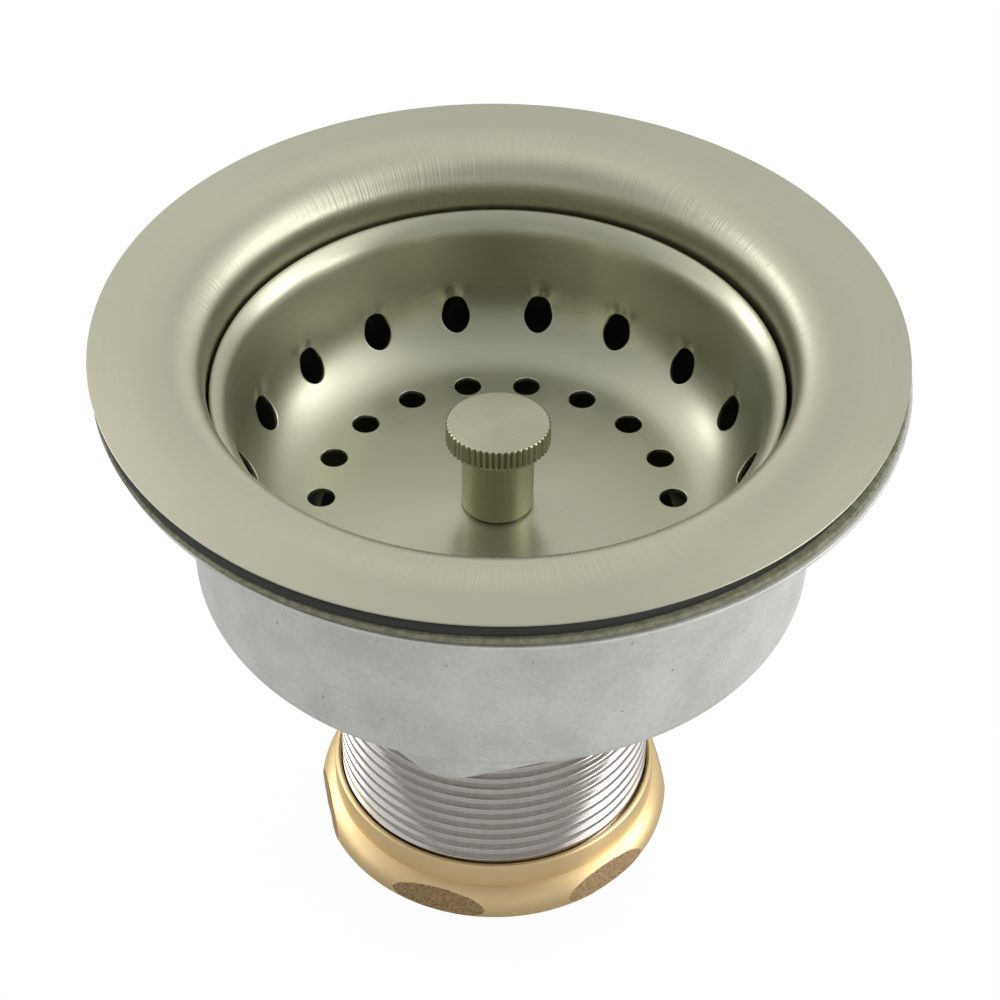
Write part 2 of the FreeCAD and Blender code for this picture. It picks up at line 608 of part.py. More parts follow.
def make_basket_underside():
    """Stud, backing plate, stopper, post and catch ring below the basket's floor."""
    stud_under = STOPPER_UNDER + " - dims.stud_grip"
    stud = new_body("centre_stud")
    revolve(stud, "stud_turned", [
        ("0", stud_under),
        ("dims.stud_r", stud_under),
        ("dims.stud_r", STUD_TOP),
        ("0", STUD_TOP),
    ])
    make_ring("backing_plate", STUD_HOLE, "dims.plate_r", FLOOR_UNDER, PLATE_UNDER)
    edge_under = STOPPER_UNDER + " + dims.stopper_round"
    stopper = new_body("stopper")
    revolve(stopper, "stopper_turned", [
        (STUD_HOLE, STOPPER_UNDER),
        ("dims.stopper_r - dims.stopper_round", STOPPER_UNDER),
        ("dims.stopper_r", edge_under),
        ("dims.stopper_r", edge_under + " + dims.stopper_edge"),
        ("dims.plate_r", PLATE_UNDER),
        (STUD_HOLE, PLATE_UNDER),
    ])
    groove_top = CATCH_Z + " + dims.catch_ring_r"
    groove_under = CATCH_Z + " - dims.catch_ring_r"
    groove_r = CATCH_OUT + " - 2 * dims.catch_ring_r"
    post = new_body("catch_post")
    revolve(post, "post_turned", [
        (STUD_HOLE, STOPPER_UNDER),
        (STUD_HOLE, stud_under),
        ("0", stud_under),
        ("0", POST_END),
        ("dims.post_r - dims.post_bevel", POST_END),
        ("dims.post_r", POST_END + " + dims.post_bevel"),
        ("dims.post_r", groove_under),
        (groove_r, groove_under),
        (groove_r, groove_top),
        ("dims.post_r", groove_top),
        ("dims.post_r", POST_HEAD_UNDER),
        ("dims.post_head_r", POST_HEAD_UNDER),
        ("dims.post_head_r", STOPPER_UNDER),
    ])
    ring = new_body("catch_ring")
    sketch = new_sketch(ring, "catch_ring_outline", "XZ_Plane")
    draw_circle(sketch, "dims.catch_ring_r", CATCH_OUT + " - dims.catch_ring_r", CATCH_Z)
    turned = ring.newObject("PartDesign::Revolution", "catch_ring_turned")
    turned.Profile = sketch
    turned.ReferenceAxis = (sketch, ["V_Axis"])
    turned.Angle = 360


def check_document():
    """Stop if any feature failed or any piece isn't one valid solid."""
    for item in doc.Objects:
        if "Invalid" in item.State or "Error" in item.State:
            raise RuntimeError(f"{item.Label} failed: {item.State}")
    for body in bodies:
        shape = body.Shape
        if shape.isNull() or not shape.isValid() or len(shape.Solids) != 1:
            raise RuntimeError(f"{body.Label} isn't one valid solid")


def write_parts():
    """Write each piece to its own file."""
    os.makedirs("parts", exist_ok=True)
    for body in bodies:
        body.Shape.exportStep(os.path.join("parts", body.Label + ".step"))
        box = body.Shape.BoundBox
        print(f"{body.Label}: {body.Shape.Volume:.1f} mm3, z {box.ZMin:.2f} to {box.ZMax:.2f}")


fill_sheet()
make_strainer_body()
make_threaded_tailpiece()
make_crossbar()
make_rings()
make_clamp_cup()
make_lock_nut()
make_coupling_nut()
make_tailpiece_washer()
make_basket_shell()
make_knob()
make_basket_underside()
doc.recompute()
check_document()
write_parts()
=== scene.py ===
"""Looks of a basket strainer waste for a kitchen sink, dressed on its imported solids.

Sizes in the classes are millimetres in the frame's own axes: the origin is on the drain's axis at
the seat plane, where the flange meets the sink, and +Z points up out of the sink.
"""

from __future__ import annotations

import logging
import math
from collections.abc import Callable, Iterator, Sequence
from contextlib import contextmanager
from dataclasses import dataclass, replace
from enum import Enum
from itertools import pairwise
from typing import Any

import bpy
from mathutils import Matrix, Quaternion, Vector

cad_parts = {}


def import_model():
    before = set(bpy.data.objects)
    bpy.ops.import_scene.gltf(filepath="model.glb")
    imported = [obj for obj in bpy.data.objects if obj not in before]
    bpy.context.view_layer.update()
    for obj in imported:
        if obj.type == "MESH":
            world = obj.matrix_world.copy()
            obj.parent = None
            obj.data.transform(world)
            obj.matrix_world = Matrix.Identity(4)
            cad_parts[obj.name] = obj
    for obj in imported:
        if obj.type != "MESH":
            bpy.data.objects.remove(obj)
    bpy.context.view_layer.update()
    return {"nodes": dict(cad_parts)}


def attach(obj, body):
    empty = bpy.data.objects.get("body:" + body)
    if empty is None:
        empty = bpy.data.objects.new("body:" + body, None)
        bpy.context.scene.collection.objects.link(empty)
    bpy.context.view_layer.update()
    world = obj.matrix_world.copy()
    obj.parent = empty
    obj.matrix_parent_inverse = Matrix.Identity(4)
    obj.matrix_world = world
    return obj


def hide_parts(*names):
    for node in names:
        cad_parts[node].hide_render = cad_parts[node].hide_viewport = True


MM = 0.001
TURN = 2 * math.pi
TINY = 1e-12
BLACK = (0.0, 0.0, 0.0)
WHITE = (1.0, 1.0, 1.0, 1.0)

Colour = tuple[float, float, float]
Piece = bpy.types.Object
log = logging.getLogger("strainer")


class Body(Enum):
    """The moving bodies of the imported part."""

    STRAINER = "strainer"
    BASKET = "basket"
    NUT = "nut"


class Grain(Enum):
    """Which way the gloss of ground metal spreads, as a share of a turn from the marks' circles."""

    ACROSS = 0.25
    ROUND = 0.0


def toned(colour: Colour, share: float) -> Colour:
    """Return a colour made darker or lighter by a share."""
    return tuple(share * part for part in colour)


def clamped(share: float) -> float:
    """Return a share kept between 0 and 1."""
    return min(1.0, max(0.0, share))


# Shader maths


class Value:
    """A number that varies over a surface: an output socket that takes Python's operators."""

    def __init__(self, shader: Shader, socket: bpy.types.NodeSocket) -> None:
        """Wrap an output socket of a shader."""
        self.shader = shader
        self.socket = socket

    def _maths(self, operation: str, *others: Any) -> Value:
        """Add one Math node on this value and others."""
        inputs = dict(enumerate((self, *others)))
        return self.shader.add("ShaderNodeMath", {"operation": operation}, inputs)

    def __add__(self, other: Any) -> Value:
        """Return the sum."""
        return self._maths("ADD", other)

    def __sub__(self, other: Any) -> Value:
        """Return the difference."""
        return self._maths("SUBTRACT", other)

    def __mul__(self, other: Any) -> Value:
        """Return the product."""
        return self._maths("MULTIPLY", other)

    def __truediv__(self, other: Any) -> Value:
        """Return the quotient."""
        return self._maths("DIVIDE", other)

    def __rsub__(self, other: float) -> Value:
        """Return a plain number less this value."""
        return self * -1.0 + other

    __radd__ = __add__
    __rmul__ = __mul__

    def root(self) -> Value:
        """Return the square root."""
        return self._maths("SQRT")

    def exponent(self) -> Value:
        """Return e to this power."""
        return self._maths("EXPONENT")

    def larger(self, other: Any) -> Value:
        """Return the larger of two values."""
        return self._maths("MAXIMUM", other)

    def between(self, low: float, high: float) -> Value:
        """Return a smooth step from 0 at low to 1 at high."""
        settings = {"interpolation_type": "SMOOTHSTEP"}
        return self.shader.add("ShaderNodeMapRange", settings, {0: self, 1: low, 2: high})


class Shader:
    """One node tree, and the single way that nodes are added to it."""

    def __init__(self, tree: bpy.types.NodeTree) -> None:
        """Start from an empty tree."""
        self.tree = tree
        self.tree.nodes.clear()

    def add(
        self,
        kind: str,
        settings: dict[str, Any] | None = None,
        inputs: dict[str | int, Any] | None = None,
        output: str | int = 0,
    ) -> Value | None:
        """Add a node of any kind.

        Args:
            kind: The node's type.
            settings: Its properties, set first.
            inputs: Values or links for its input sockets, by name or number.
            output: The output socket to hand on.

        Returns:
            The chosen output as a value, or nothing from a node that ends the tree.
        """
        node = self.tree.nodes.new(kind)
        for key, setting in (settings or {}).items():
            setattr(node, key, setting)
        for key, entry in (inputs or {}).items():
            socket = node.inputs[key]
            if isinstance(entry, Value):
                self.tree.links.new(entry.socket, socket)
            else:
                socket.default_value = entry
        return Value(self, node.outputs[output]) if node.outputs else None

    def place(self) -> Value:
        """Return the surface's own place in the frame."""
        return self.add("ShaderNodeTexCoord", output="Object")

    def split(self, vector: Value) -> tuple[Value, Value, Value]:
        """Return a vector's three parts."""
        node = self.add("ShaderNodeSeparateXYZ", inputs={0: vector}).socket.node
        return tuple(Value(self, socket) for socket in node.outputs)

    def join(self, x: Any, y: Any, z: Any) -> Value:
        """Return a vector of three values."""
        return self.add("ShaderNodeCombineXYZ", inputs={0: x, 1: y, 2: z})

    def noise(self, vector: Value, scale: float, detail: float) -> Value:
        """Return fractal noise about 0.5."""
        inputs = {"Vector": vector, "Scale": scale, "Detail": detail}
        return self.add("ShaderNodeTexNoise", inputs=inputs)

    def mix(self, factor: Any, first: Any, second: Any) -> Value:
        """Mix two colours by a factor."""
        first, second = ((*c, 1.0) if isinstance(c, tuple) else c for c in (first, second))
        return self.add("ShaderNodeMix", {"data_type": "RGBA"}, {0: factor, 6: first, 7: second}, 2)

    def blend(self, factor: Any, first: Value, second: Value) -> Value:
        """Mix two shaders by a factor."""
        return self.add("ShaderNodeMixShader", inputs={0: factor, 1: first, 2: second})

    def bump(self, height: Value, depth: float) -> Value:
        """Return a normal raised by a height, whose full range is a depth in millimetres."""
        inputs = {"Height": height, "Distance": depth * MM, "Strength": 1.0}
        return self.add("ShaderNodeBump", inputs=inputs)

    def about_axis(self) -> tuple[Value, Value, Value, Value]:
        """Return where the surface is about the axis.

        Returns:
            The direction from the axis as x and y, the distance from it and the height.
        """
        x, y, z = self.split(self.place())
        radius = (x * x + y * y + TINY).root()
        return x / radius, y / radius, radius, z

    def round_marks(self, fine: float, drift: float) -> Value:
        """Return noise drawn out in circles about the axis.

        Args:
            fine: Marks to the metre across the circles.
            drift: How fast a mark changes along its circle.

        Returns:
            The marks, about 0.5.
        """
        x, y, radius, z = self.about_axis()
        vector = self.join(radius * fine, z * fine, x * drift)
        inputs = {"Vector": vector, "W": y * drift, "Scale": 1.0, "Detail": 1.0}
        return self.add("ShaderNodeTexNoise", {"noise_dimensions": "4D"}, inputs)

    def upright_marks(self, fine: float, drift: float) -> Value:
        """Return noise drawn out along the profile of a turned piece.

        Args:
            fine: Marks to a radian round the axis.
            drift: How fast a mark changes along the profile, to the metre.

        Returns:
            The marks, about 0.5.
        """
        x, y, radius, z = self.about_axis()
        vector = self.join(x * fine, y * fine, (radius - z) * drift)
        return self.noise(vector, 1.0, 3.0)

    def principled(
        self,
        colour: Value,
        roughness: Value,
        normal: Value,
        metallic: Any = 0.0,
        stretch: float = 0.0,
        grain: Grain = Grain.ROUND,
    ) -> Value:
        """Add a surface's shader.

        Args:
            colour: The base colour.
            roughness: The roughness.
            normal: The raised normal.
            metallic: How far the surface is bare metal.
            stretch: How far its gloss is drawn out.
            grain: Which way its gloss is drawn out.

        Returns:
            The shader.
        """
        inputs = {"Base Color": colour, "Roughness": roughness, "Normal": normal, "Metallic": metallic}
        inputs |= {"Anisotropic": stretch, "Anisotropic Rotation": grain.value}
        return self.add("ShaderNodeBsdfPrincipled", inputs=inputs)


# Finishes


@dataclass(frozen=True)
class Finish:
    """A surface finish that becomes one material."""

    name: str

    def material(self) -> bpy.types.Material:
        """Return the finish as a new material.

        Returns:
            The material.
        """
        made = bpy.data.materials.new(self.name)
        made.use_nodes = True
        shader = Shader(made.node_tree)
        shader.add("ShaderNodeOutputMaterial", inputs={"Surface": self.surface(shader)})
        return made

    def surface(self, shader: Shader) -> Value:
        """Return the finish's shader."""
        raise NotImplementedError


@dataclass(frozen=True)
class BrushedNickel(Finish):
    """Satin nickel whose grinding marks run round the axis, or up the profile inside a radius.

    Below a height the colour is darkened: painted shade inside the bowl, so that the holes look
    darker.
    """

    colour: Colour = (0.47, 0.46, 0.36)
    roughness: float = 0.3
    fine: float = 2500.0
    drift: float = 3.0
    spread: float = 0.1
    depth: float = 0.004
    contrast: float = 0.07
    stretch: float = 0.6
    cloud: float = 60.0
    cloud_spread: float = 0.05
    upright_inside: float = 0.0
    upright_band: float = 2.0
    upright_fine: float = 110.0
    upright_drift: float = 40.0
    upright_depth: float = 0.07
    upright_roughness: float = 0.4
    upright_stretch: float = 0.4
    # Painted shade: the colour darkens below this height, over this band, down to this share.
    painted_shade_below: float = -1000.0
    painted_shade_band: float = 4.0
    painted_shade_tone: float = 0.45

    def surface(self, shader: Shader) -> Value:
        """Return nickel whose tone, gloss and height follow its marks.

        Args:
            shader: The tree to add to.

        Returns:
            The shader.
        """
        ring, band = self.upright_inside, self.upright_band
        marks = shader.round_marks(self.fine, self.drift)
        ground = self.metal(shader, marks, self.depth, Grain.ACROSS)
        if not ring:
            return ground
        _, _, radius, _ = shader.about_axis()
        outside = radius.between((ring - band) * MM, (ring + band) * MM)
        streaks = shader.upright_marks(self.upright_fine, self.upright_drift)
        rough = replace(self, roughness=self.upright_roughness, stretch=self.upright_stretch)
        pressed = rough.metal(shader, streaks, self.upright_depth, Grain.ROUND)
        return shader.blend(outside, pressed, ground)

    def metal(self, shader: Shader, marks: Value, depth: float, grain: Grain) -> Value:
        """Return nickel with one kind of marks.

        Args:
            shader: The tree to add to.
            marks: The marks, about 0.5.
            depth: The marks' depth in millimetres.
            grain: Which way they spread the gloss.

        Returns:
            The metal's shader.
        """
        cloud = shader.noise(shader.place(), self.cloud, 3.0)
        darker = toned(self.colour, 1 - self.contrast)
        lighter = toned(self.colour, 1 + self.contrast)
        tone = shader.mix(marks * 0.6 + cloud * 0.4, darker, lighter)
        # Painted shade: below a set height the colour fades to a darker share, deep inside the bowl.
        _, _, z = shader.split(shader.place())
        low, high = self.painted_shade_below - self.painted_shade_band, self.painted_shade_below + self.painted_shade_band
        bright = z.between(low * MM, high * MM) * (1 - self.painted_shade_tone) + self.painted_shade_tone
        return shader.principled(
            shader.mix(bright, BLACK, tone),
            (marks - 0.5) * self.spread + (cloud - 0.5) * self.cloud_spread + self.roughness,
            shader.bump(marks, depth),
            metallic=1.0,
            stretch=self.stretch,
            grain=grain,
        )


@dataclass(frozen=True)
class TurnedSteel(Finish):
    """Bright turned metal with faint lathe marks and chatter."""

    colour: Colour = (0.62, 0.592, 0.565)
    roughness: float = 0.13
    depth: float = 0.003

    def surface(self, shader: Shader) -> Value:
        """Return bright metal with lathe marks.

        Args:
            shader: The tree to add to.

        Returns:
            The shader.
        """
        marks = shader.round_marks(6000.0, 6.0)
        chatter = shader.upright_marks(90.0, 40.0)
        return shader.principled(
            shader.mix(chatter.between(0.3, 0.7), toned(self.colour, 0.9), self.colour),
            (marks - 0.5) * 0.12 + (chatter - 0.5) * 0.1 + self.roughness,
            shader.bump(marks * 0.5 + chatter * 0.5, self.depth),
            metallic=1.0,
        )


@dataclass(frozen=True)
class CastZinc(Finish):
    """Die-cast zinc: a matte grey skin with cloudy tone and small pits."""

    colour: Colour = (0.635, 0.641, 0.602)
    roughness: float = 0.5
    grain: float = 0.02
    metallic: float = 0.3

    def surface(self, shader: Shader) -> Value:
        """Return a matte cast skin.

        Args:
            shader: The tree to add to.

        Returns:
            The shader.
        """
        place = shader.place()
        cloud = shader.noise(place, 130.0, 5.0)
        speck = shader.noise(place, 1300.0, 3.0)
        pits = shader.noise(place, 900.0, 1.0).between(0.76, 0.8)
        blend = (cloud * 0.6 + speck * 0.4).between(0.3, 0.7)
        tone = shader.mix(blend, toned(self.colour, 0.88), toned(self.colour, 1.12))
        return shader.principled(
            shader.mix(pits * 0.7, tone, toned(self.colour, 0.3)),
            (speck - 0.5) * 0.2 + (cloud - 0.5) * 0.2 + self.roughness,
            shader.bump(speck * 0.6 + cloud - pits, self.grain),
            metallic=self.metallic,
        )


@dataclass(frozen=True)
class ForgedBrass(Finish):
    """Turned brass that keeps the rough skin of its forging on its flats."""

    colour: Colour = (0.88, 0.676, 0.356)
    skin: Colour = (0.29, 0.2, 0.095)
    roughness: float = 0.38
    stretch: float = 0.75
    flat_reach: float = 26.15
    turn: float = 11.0
    edge: float = 0.12
    edge_band: float = 0.06
    ragged: float = 0.2

    def patches(self, shader: Shader) -> Value:
        """Return where the forged flats are, with ragged edges.

        Args:
            shader: The tree to add to.

        Returns:
            1 on the flats and 0 elsewhere.
        """
        x, y, _ = shader.split(shader.place())
        angles = [math.radians(self.turn + 60 * step) for step in range(6)]
        reach, *others = (x * math.cos(angle) + y * math.sin(angle) for angle in angles)
        for other in others:
            reach = reach.larger(other)
        ragged = shader.noise(shader.place(), 1500.0, 3.0) - 0.5
        low = (self.flat_reach - self.edge) * MM
        return (reach + ragged * (self.ragged * MM)).between(low, low + self.edge_band * MM)

    def surface(self, shader: Shader) -> Value:
        """Return brass with its rough patches.

        Args:
            shader: The tree to add to.

        Returns:
            The shader.
        """
        patch = self.patches(shader)
        marks = shader.round_marks(5000.0, 4.0)
        grit = shader.noise(shader.place(), 2600.0, 4.0)
        turned = shader.mix(marks, toned(self.colour, 0.92), self.colour)
        rough = shader.mix(grit.between(0.2, 0.8), toned(self.skin, 0.6), toned(self.skin, 1.8))
        return shader.principled(
            shader.mix(patch, turned, rough),
            (marks - 0.5) * 0.1 + patch * 0.25 + self.roughness,
            shader.bump(patch * grit * 0.05 + marks * 0.003, 1.0),
            metallic=1.0 - patch * 0.6,
            stretch=self.stretch,
            grain=Grain.ACROSS,
        )


@dataclass(frozen=True)
class Rubber(Finish):
    """Black moulded rubber with a little bloom."""

    colour: Colour = (0.014, 0.014, 0.013)

    def surface(self, shader: Shader) -> Value:
        """Return matte black rubber.

        Args:
            shader: The tree to add to.

        Returns:
            The shader.
        """
        bloom = shader.noise(shader.place(), 300.0, 4.0)
        colour = shader.mix(bloom, self.colour, toned(self.colour, 1.8))
        return shader.principled(colour, bloom * 0.2 + 0.5, shader.bump(bloom, 0.02))


@dataclass(frozen=True)
class PressedFibre(Finish):
    """Olive pressed fibre with mottled, furry edges."""

    dark: Colour = (0.155, 0.154, 0.1)
    light: Colour = (0.27, 0.264, 0.185)

    def surface(self, shader: Shader) -> Value:
        """Return mottled fibre.

        Args:
            shader: The tree to add to.

        Returns:
            The shader.
        """
        place = shader.place()
        mottle = shader.noise(place, 900.0, 5.0)
        hair = shader.noise(place, 3500.0, 2.0)
        blend = (mottle * 0.7 + hair * 0.3).between(0.36, 0.64)
        colour = shader.mix(blend, self.dark, self.light)
        return shader.principled(colour, mottle * 0.2 + 0.7, shader.bump(hair + mottle, 0.06))


@dataclass(frozen=True)
class PaleFloor(Finish):
    """A pale floor that the camera sees as nearly white, with the part's soft shadow."""

    tone: float = 0.55
    glow: float = 1.04
    share: float = 0.93

    def surface(self, shader: Shader) -> Value:
        """Return a matte floor that glows for the camera.

        Args:
            shader: The tree to add to.

        Returns:
            The shader.
        """
        rays = shader.add("ShaderNodeLightPath", output="Is Camera Ray")
        through = Value(shader, rays.socket.node.outputs["Is Transmission Ray"])
        grey = (self.tone, self.tone, self.tone, 1.0)
        matte = shader.add("ShaderNodeBsdfDiffuse", inputs={"Color": grey})
        white = shader.add("ShaderNodeEmission", inputs={"Color": WHITE, "Strength": self.glow})
        return shader.blend(rays.larger(through) * self.share, matte, white)


# Modelling


@dataclass(frozen=True)
class Corner:
    """A corner of a turned outline, rounded where it has a fillet.

    An eased fillet bends gently at both ends, as pressed sheet does, and reaches a little further.
    """

    r: float
    z: float
    fillet: float = 0.0
    steps: int = 6
    eased: bool = False


class Bench:
    """The modelling operations that the pieces share."""

    MERGE = 0.002 * MM
    FINE = 16
    EASED_REACH = 1.2

    @classmethod
    def bend(cls, here: Vector, back: Vector, on: Vector, corner: Corner) -> list[Vector]:
        """Return the points of one rounded corner.

        Args:
            here: The sharp corner.
            back: The direction to the corner before.
            on: The direction to the corner after.
            corner: The corner's fillet, steps and easing.

        Returns:
            The points from the side before to the side after.
        """
        reach = corner.fillet / math.tan(back.angle(on) / 2) * (cls.EASED_REACH if corner.eased else 1)
        sweep = math.pi - back.angle(on)
        side = (on + back * math.cos(sweep)).normalized()
        path = [Vector((0.0, 0.0))]
        for step in range(corner.steps * cls.FINE):
            share = (step + 0.5) / (corner.steps * cls.FINE)
            heading = sweep * (share * share * (3 - 2 * share) if corner.eased else share)
            path.append(path[-1] - back * math.cos(heading) + side * math.sin(heading))
        whole = path[-1]
        length = whole.dot(-back) + whole.dot(side) / math.tan(math.pi - sweep)
        start = here + back * reach
        return [start + path[step * cls.FINE] * (reach / length) for step in range(corner.steps + 1)]

    @classmethod
    def outline(cls, corners: Sequence[Corner]) -> list[Vector]:
        """Round the corners of a closed outline.

        Args:
            corners: The outline's corners in order.

        Returns:
            The outline's points in the XZ plane, in metres.
        """
        points: list[Vector] = []
        for number, corner in enumerate(corners):
            here = Vector((corner.r, corner.z))
            if not corner.fillet:
                points.append(here)
                continue
            before = corners[number - 1]
            after = corners[(number + 1) % len(corners)]
            back = (Vector((before.r, before.z)) - here).normalized()
            on = (Vector((after.r, after.z)) - here).normalized()
            points += cls.bend(here, back, on, corner)
        return [Vector((point.x, 0.0, point.y)) * MM for point in points]

    @staticmethod
    def profile(places: Sequence[tuple[float, float]]) -> list[Vector]:
        """Return radii and heights in millimetres as points of the XZ plane, in metres."""
        return [Vector((r, 0, z)) * MM for r, z in places]

    @classmethod
    def activate(cls, piece: Piece) -> None:
        """Select one piece alone and make it the active one.

        Args:
            piece: The piece.
        """
        bpy.ops.object.select_all(action="DESELECT")
        piece.select_set(True)
        bpy.context.view_layer.objects.active = piece

    @classmethod
    @contextmanager
    def editing(cls, piece: Piece) -> Iterator[None]:
        """Hold one piece in edit mode, with all of it selected at first.

        Args:
            piece: The piece.

        Yields:
            Nothing, while the piece is open.
        """
        cls.activate(piece)
        bpy.ops.object.mode_set(mode="EDIT")
        bpy.ops.mesh.select_all(action="SELECT")
        yield
        bpy.ops.object.mode_set(mode="OBJECT")

    @classmethod
    def modify(cls, piece: Piece, kind: str, **settings: Any) -> None:
        """Add a modifier to a piece and apply it.

        Args:
            piece: The piece.
            kind: The modifier's type.
            settings: Its properties.
        """
        cls.activate(piece)
        added = piece.modifiers.new(kind.lower(), kind)
        for key, setting in settings.items():
            setattr(added, key, setting)
        bpy.ops.object.modifier_apply(modifier=added.name)

    @classmethod
    def chain(cls, name: str, points: Sequence[Vector], steps: int = 0) -> Piece:
        """Draw a chain of edges by extruding one vertex from point to point.

        Args:
            name: The new piece's name.
            points: The chain's points, in metres.
            steps: Faces round the axis, where the chain is then turned.

        Returns:
            The new piece.
        """
        bpy.ops.mesh.primitive_plane_add(size=MM)
        piece = bpy.context.object
        piece.name = piece.data.name = name
        with cls.editing(piece):
            bpy.ops.mesh.merge(type="CENTER")
            bpy.ops.transform.translate(value=points[0])
            for here, there in pairwise(points):
                bpy.ops.mesh.extrude_region_move(TRANSFORM_OT_translate={"value": there - here})
            if steps:
                bpy.ops.mesh.select_all(action="SELECT")
                bpy.ops.mesh.spin(steps=steps, angle=TURN, center=(0, 0, 0), axis=(0, 0, 1))
                cls.weld()
        return piece

    @classmethod
    def turned(cls, name: str, points: Sequence[Vector], steps: int, closed: bool = True) -> Piece:
        """Turn an outline round the axis, run back to its first point where it is closed."""
        return cls.chain(name, [*points, points[0]] if closed else points, steps)

    @classmethod
    def weld(cls) -> None:
        """Merge doubles of the piece in edit mode and turn its faces outwards."""
        bpy.ops.mesh.select_all(action="SELECT")
        bpy.ops.mesh.remove_doubles(threshold=cls.MERGE)
        bpy.ops.mesh.normals_make_consistent(inside=False)

    @classmethod
    def shift(cls, piece: Piece, across: tuple[float, float]) -> None:
        """Move a loose piece sideways in its mesh, in millimetres."""
        with cls.editing(piece):
            bpy.ops.transform.translate(value=(across[0] * MM, across[1] * MM, 0))

    @classmethod
    def smooth(cls, piece: Piece, degrees: float) -> None:
        """Shade a piece smooth apart from its sharp edges."""
        cls.activate(piece)
        bpy.ops.object.shade_smooth_by_angle(angle=math.radians(degrees))

    @classmethod
    def join(cls, name: str, pieces: Sequence[Piece]) -> Piece:
        """Join pieces into one.

        Args:
            name: The joined piece's name.
            pieces: The pieces, the first of which takes in the others.

        Returns:
            The joined piece.
        """
        whole = pieces[0]
        cls.activate(whole)
        for piece in pieces:
            piece.select_set(True)
        bpy.ops.object.join()
        whole.name = whole.data.name = name
        return whole

    @staticmethod
    def hand_over(piece: Piece, finish: Finish, body: Body, *nodes: str) -> None:
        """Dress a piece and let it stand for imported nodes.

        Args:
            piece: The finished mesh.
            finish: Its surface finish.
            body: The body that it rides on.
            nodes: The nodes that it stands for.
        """
        piece.data.materials.clear()
        piece.data.materials.append(finish.material())
        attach(piece, body.value)
        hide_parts(*nodes)
        log.info("%s: %d faces", piece.name, len(piece.data.polygons))


@dataclass
class StrainerBody:
    """Stamped flange, rounded shoulder and bowl in one sheet."""

    flange: float = 57.15
    sheet: float = 0.9
    undercut: float = 0.9
    edge: float = 0.18
    throat: float = 41.2
    shoulder: float = 5.8
    bowl: float = 35.0
    bowl_corner: float = 9.0
    drain: float = 20.8
    ground_to: float = 50.5
    # Painted shade darkens the sheet's colour below this height, inside the bowl.
    painted_shade_below: float = -14.0

    def corners(self) -> list[Corner]:
        """Return the sheet's outline.

        Returns:
            The outline's corners in order.
        """
        out = self.throat + self.sheet
        under = -self.bowl - self.sheet
        return [
            Corner(self.flange, self.sheet, 0.1, 4),
            Corner(self.throat, self.sheet, self.shoulder, 36, eased=True),
            Corner(self.throat, -self.bowl, self.bowl_corner, 14),
            Corner(self.drain, -self.bowl, 0.2, 3),
            Corner(self.drain, under),
            Corner(out, under, self.bowl_corner + self.sheet, 12),
            Corner(out, 0.0, self.shoulder - self.sheet, 10),
            Corner(self.flange - self.undercut, 0.0),
            Corner(self.flange, self.sheet - self.edge, 0.08, 3),
        ]

    def build(self) -> None:
        """Turn the sheet and give it its brushed finish."""
        piece = Bench.turned("strainer_sheet", Bench.outline(self.corners()), 320)
        Bench.smooth(piece, 40.0)
        finish = BrushedNickel(
            "brushed_nickel_flange",
            roughness=0.36,
            upright_inside=self.ground_to,
            painted_shade_below=self.painted_shade_below,
        )
        Bench.hand_over(piece, finish, Body.STRAINER, "strainer_body")


@dataclass
class FlatRing:
    """A flat ring with soft edges that lies a little off the axis."""

    name: str
    inner: float
    outer: float
    top: float
    under: float
    across: tuple[float, float]

    def build(self, finish: Finish, node: str) -> None:
        """Turn the ring and move it off the axis.

        Args:
            finish: Its finish.
            node: The node that it stands for.
        """
        soft = 0.25 * (self.top - self.under)
        sides = (
            (self.outer, self.top),
            (self.inner, self.top),
            (self.inner, self.under),
            (self.outer, self.under),
        )
        piece = Bench.turned(self.name, Bench.outline([Corner(*side, soft, 3) for side in sides]), 256)
        Bench.shift(piece, self.across)
        Bench.smooth(piece, 35.0)
        Bench.hand_over(piece, finish, Body.STRAINER, node)


@dataclass
class ClampStack:
    """Rubber gasket, fibre washer and clamping cup under the flange."""

    gasket: tuple[float, float] = (47.5, 56.2)
    gasket_under: float = -1.8
    gasket_shift: tuple[float, float] = (-0.4, -0.35)
    washer: tuple[float, float] = (45.6, 57.0)
    seat: float = -2.7
    washer_shift: tuple[float, float] = (0.2, 0.0)
    cup_shift: tuple[float, float] = (0.7, 0.0)
    rim: float = 57.0
    lip: float = 1.6
    wall: float = 1.8
    top_wall: float = 46.3
    foot_wall: float = 44.7
    foot: float = -39.3
    foot_sheet: float = 2.2
    bore: float = 24.95

    def build(self) -> None:
        """Make the gasket, the washer and the cup."""
        middle = self.gasket_under
        gasket = FlatRing("gasket_ring", *self.gasket, 0.0, middle, self.gasket_shift)
        gasket.build(Rubber("black_rubber"), "rubber_gasket")
        washer = FlatRing("fibre_ring", *self.washer, middle, self.seat, self.washer_shift)
        washer.build(PressedFibre("fibre"), "fibre_washer")
        piece = Bench.turned("cast_cup", Bench.outline(self.cup()), 256)
        Bench.shift(piece, self.cup_shift)
        Bench.smooth(piece, 40.0)
        Bench.hand_over(piece, CastZinc("cast_zinc"), Body.STRAINER, "clamp_cup")

    def cup(self) -> list[Corner]:
        """Return the cast cup's outline.

        Returns:
            The outline's corners in order.
        """
        floor = self.foot + self.foot_sheet
        return [
            Corner(self.rim, self.seat - 0.5, 0.15, 3),
            Corner(self.rim - self.lip, self.seat - 0.5),
            Corner(self.rim - self.lip, self.seat, 0.15, 3),
            Corner(self.top_wall - self.wall, self.seat),
            Corner(self.foot_wall - self.wall, floor, 1.5, 5),
            Corner(self.bore, floor),
            Corner(self.bore, self.foot),
            Corner(self.foot_wall, self.foot, 3.0, 12),
            Corner(self.top_wall, self.seat - 2.2, 1.2, 5),
            Corner(self.rim, self.seat - 1.1, 0.2, 4),
        ]


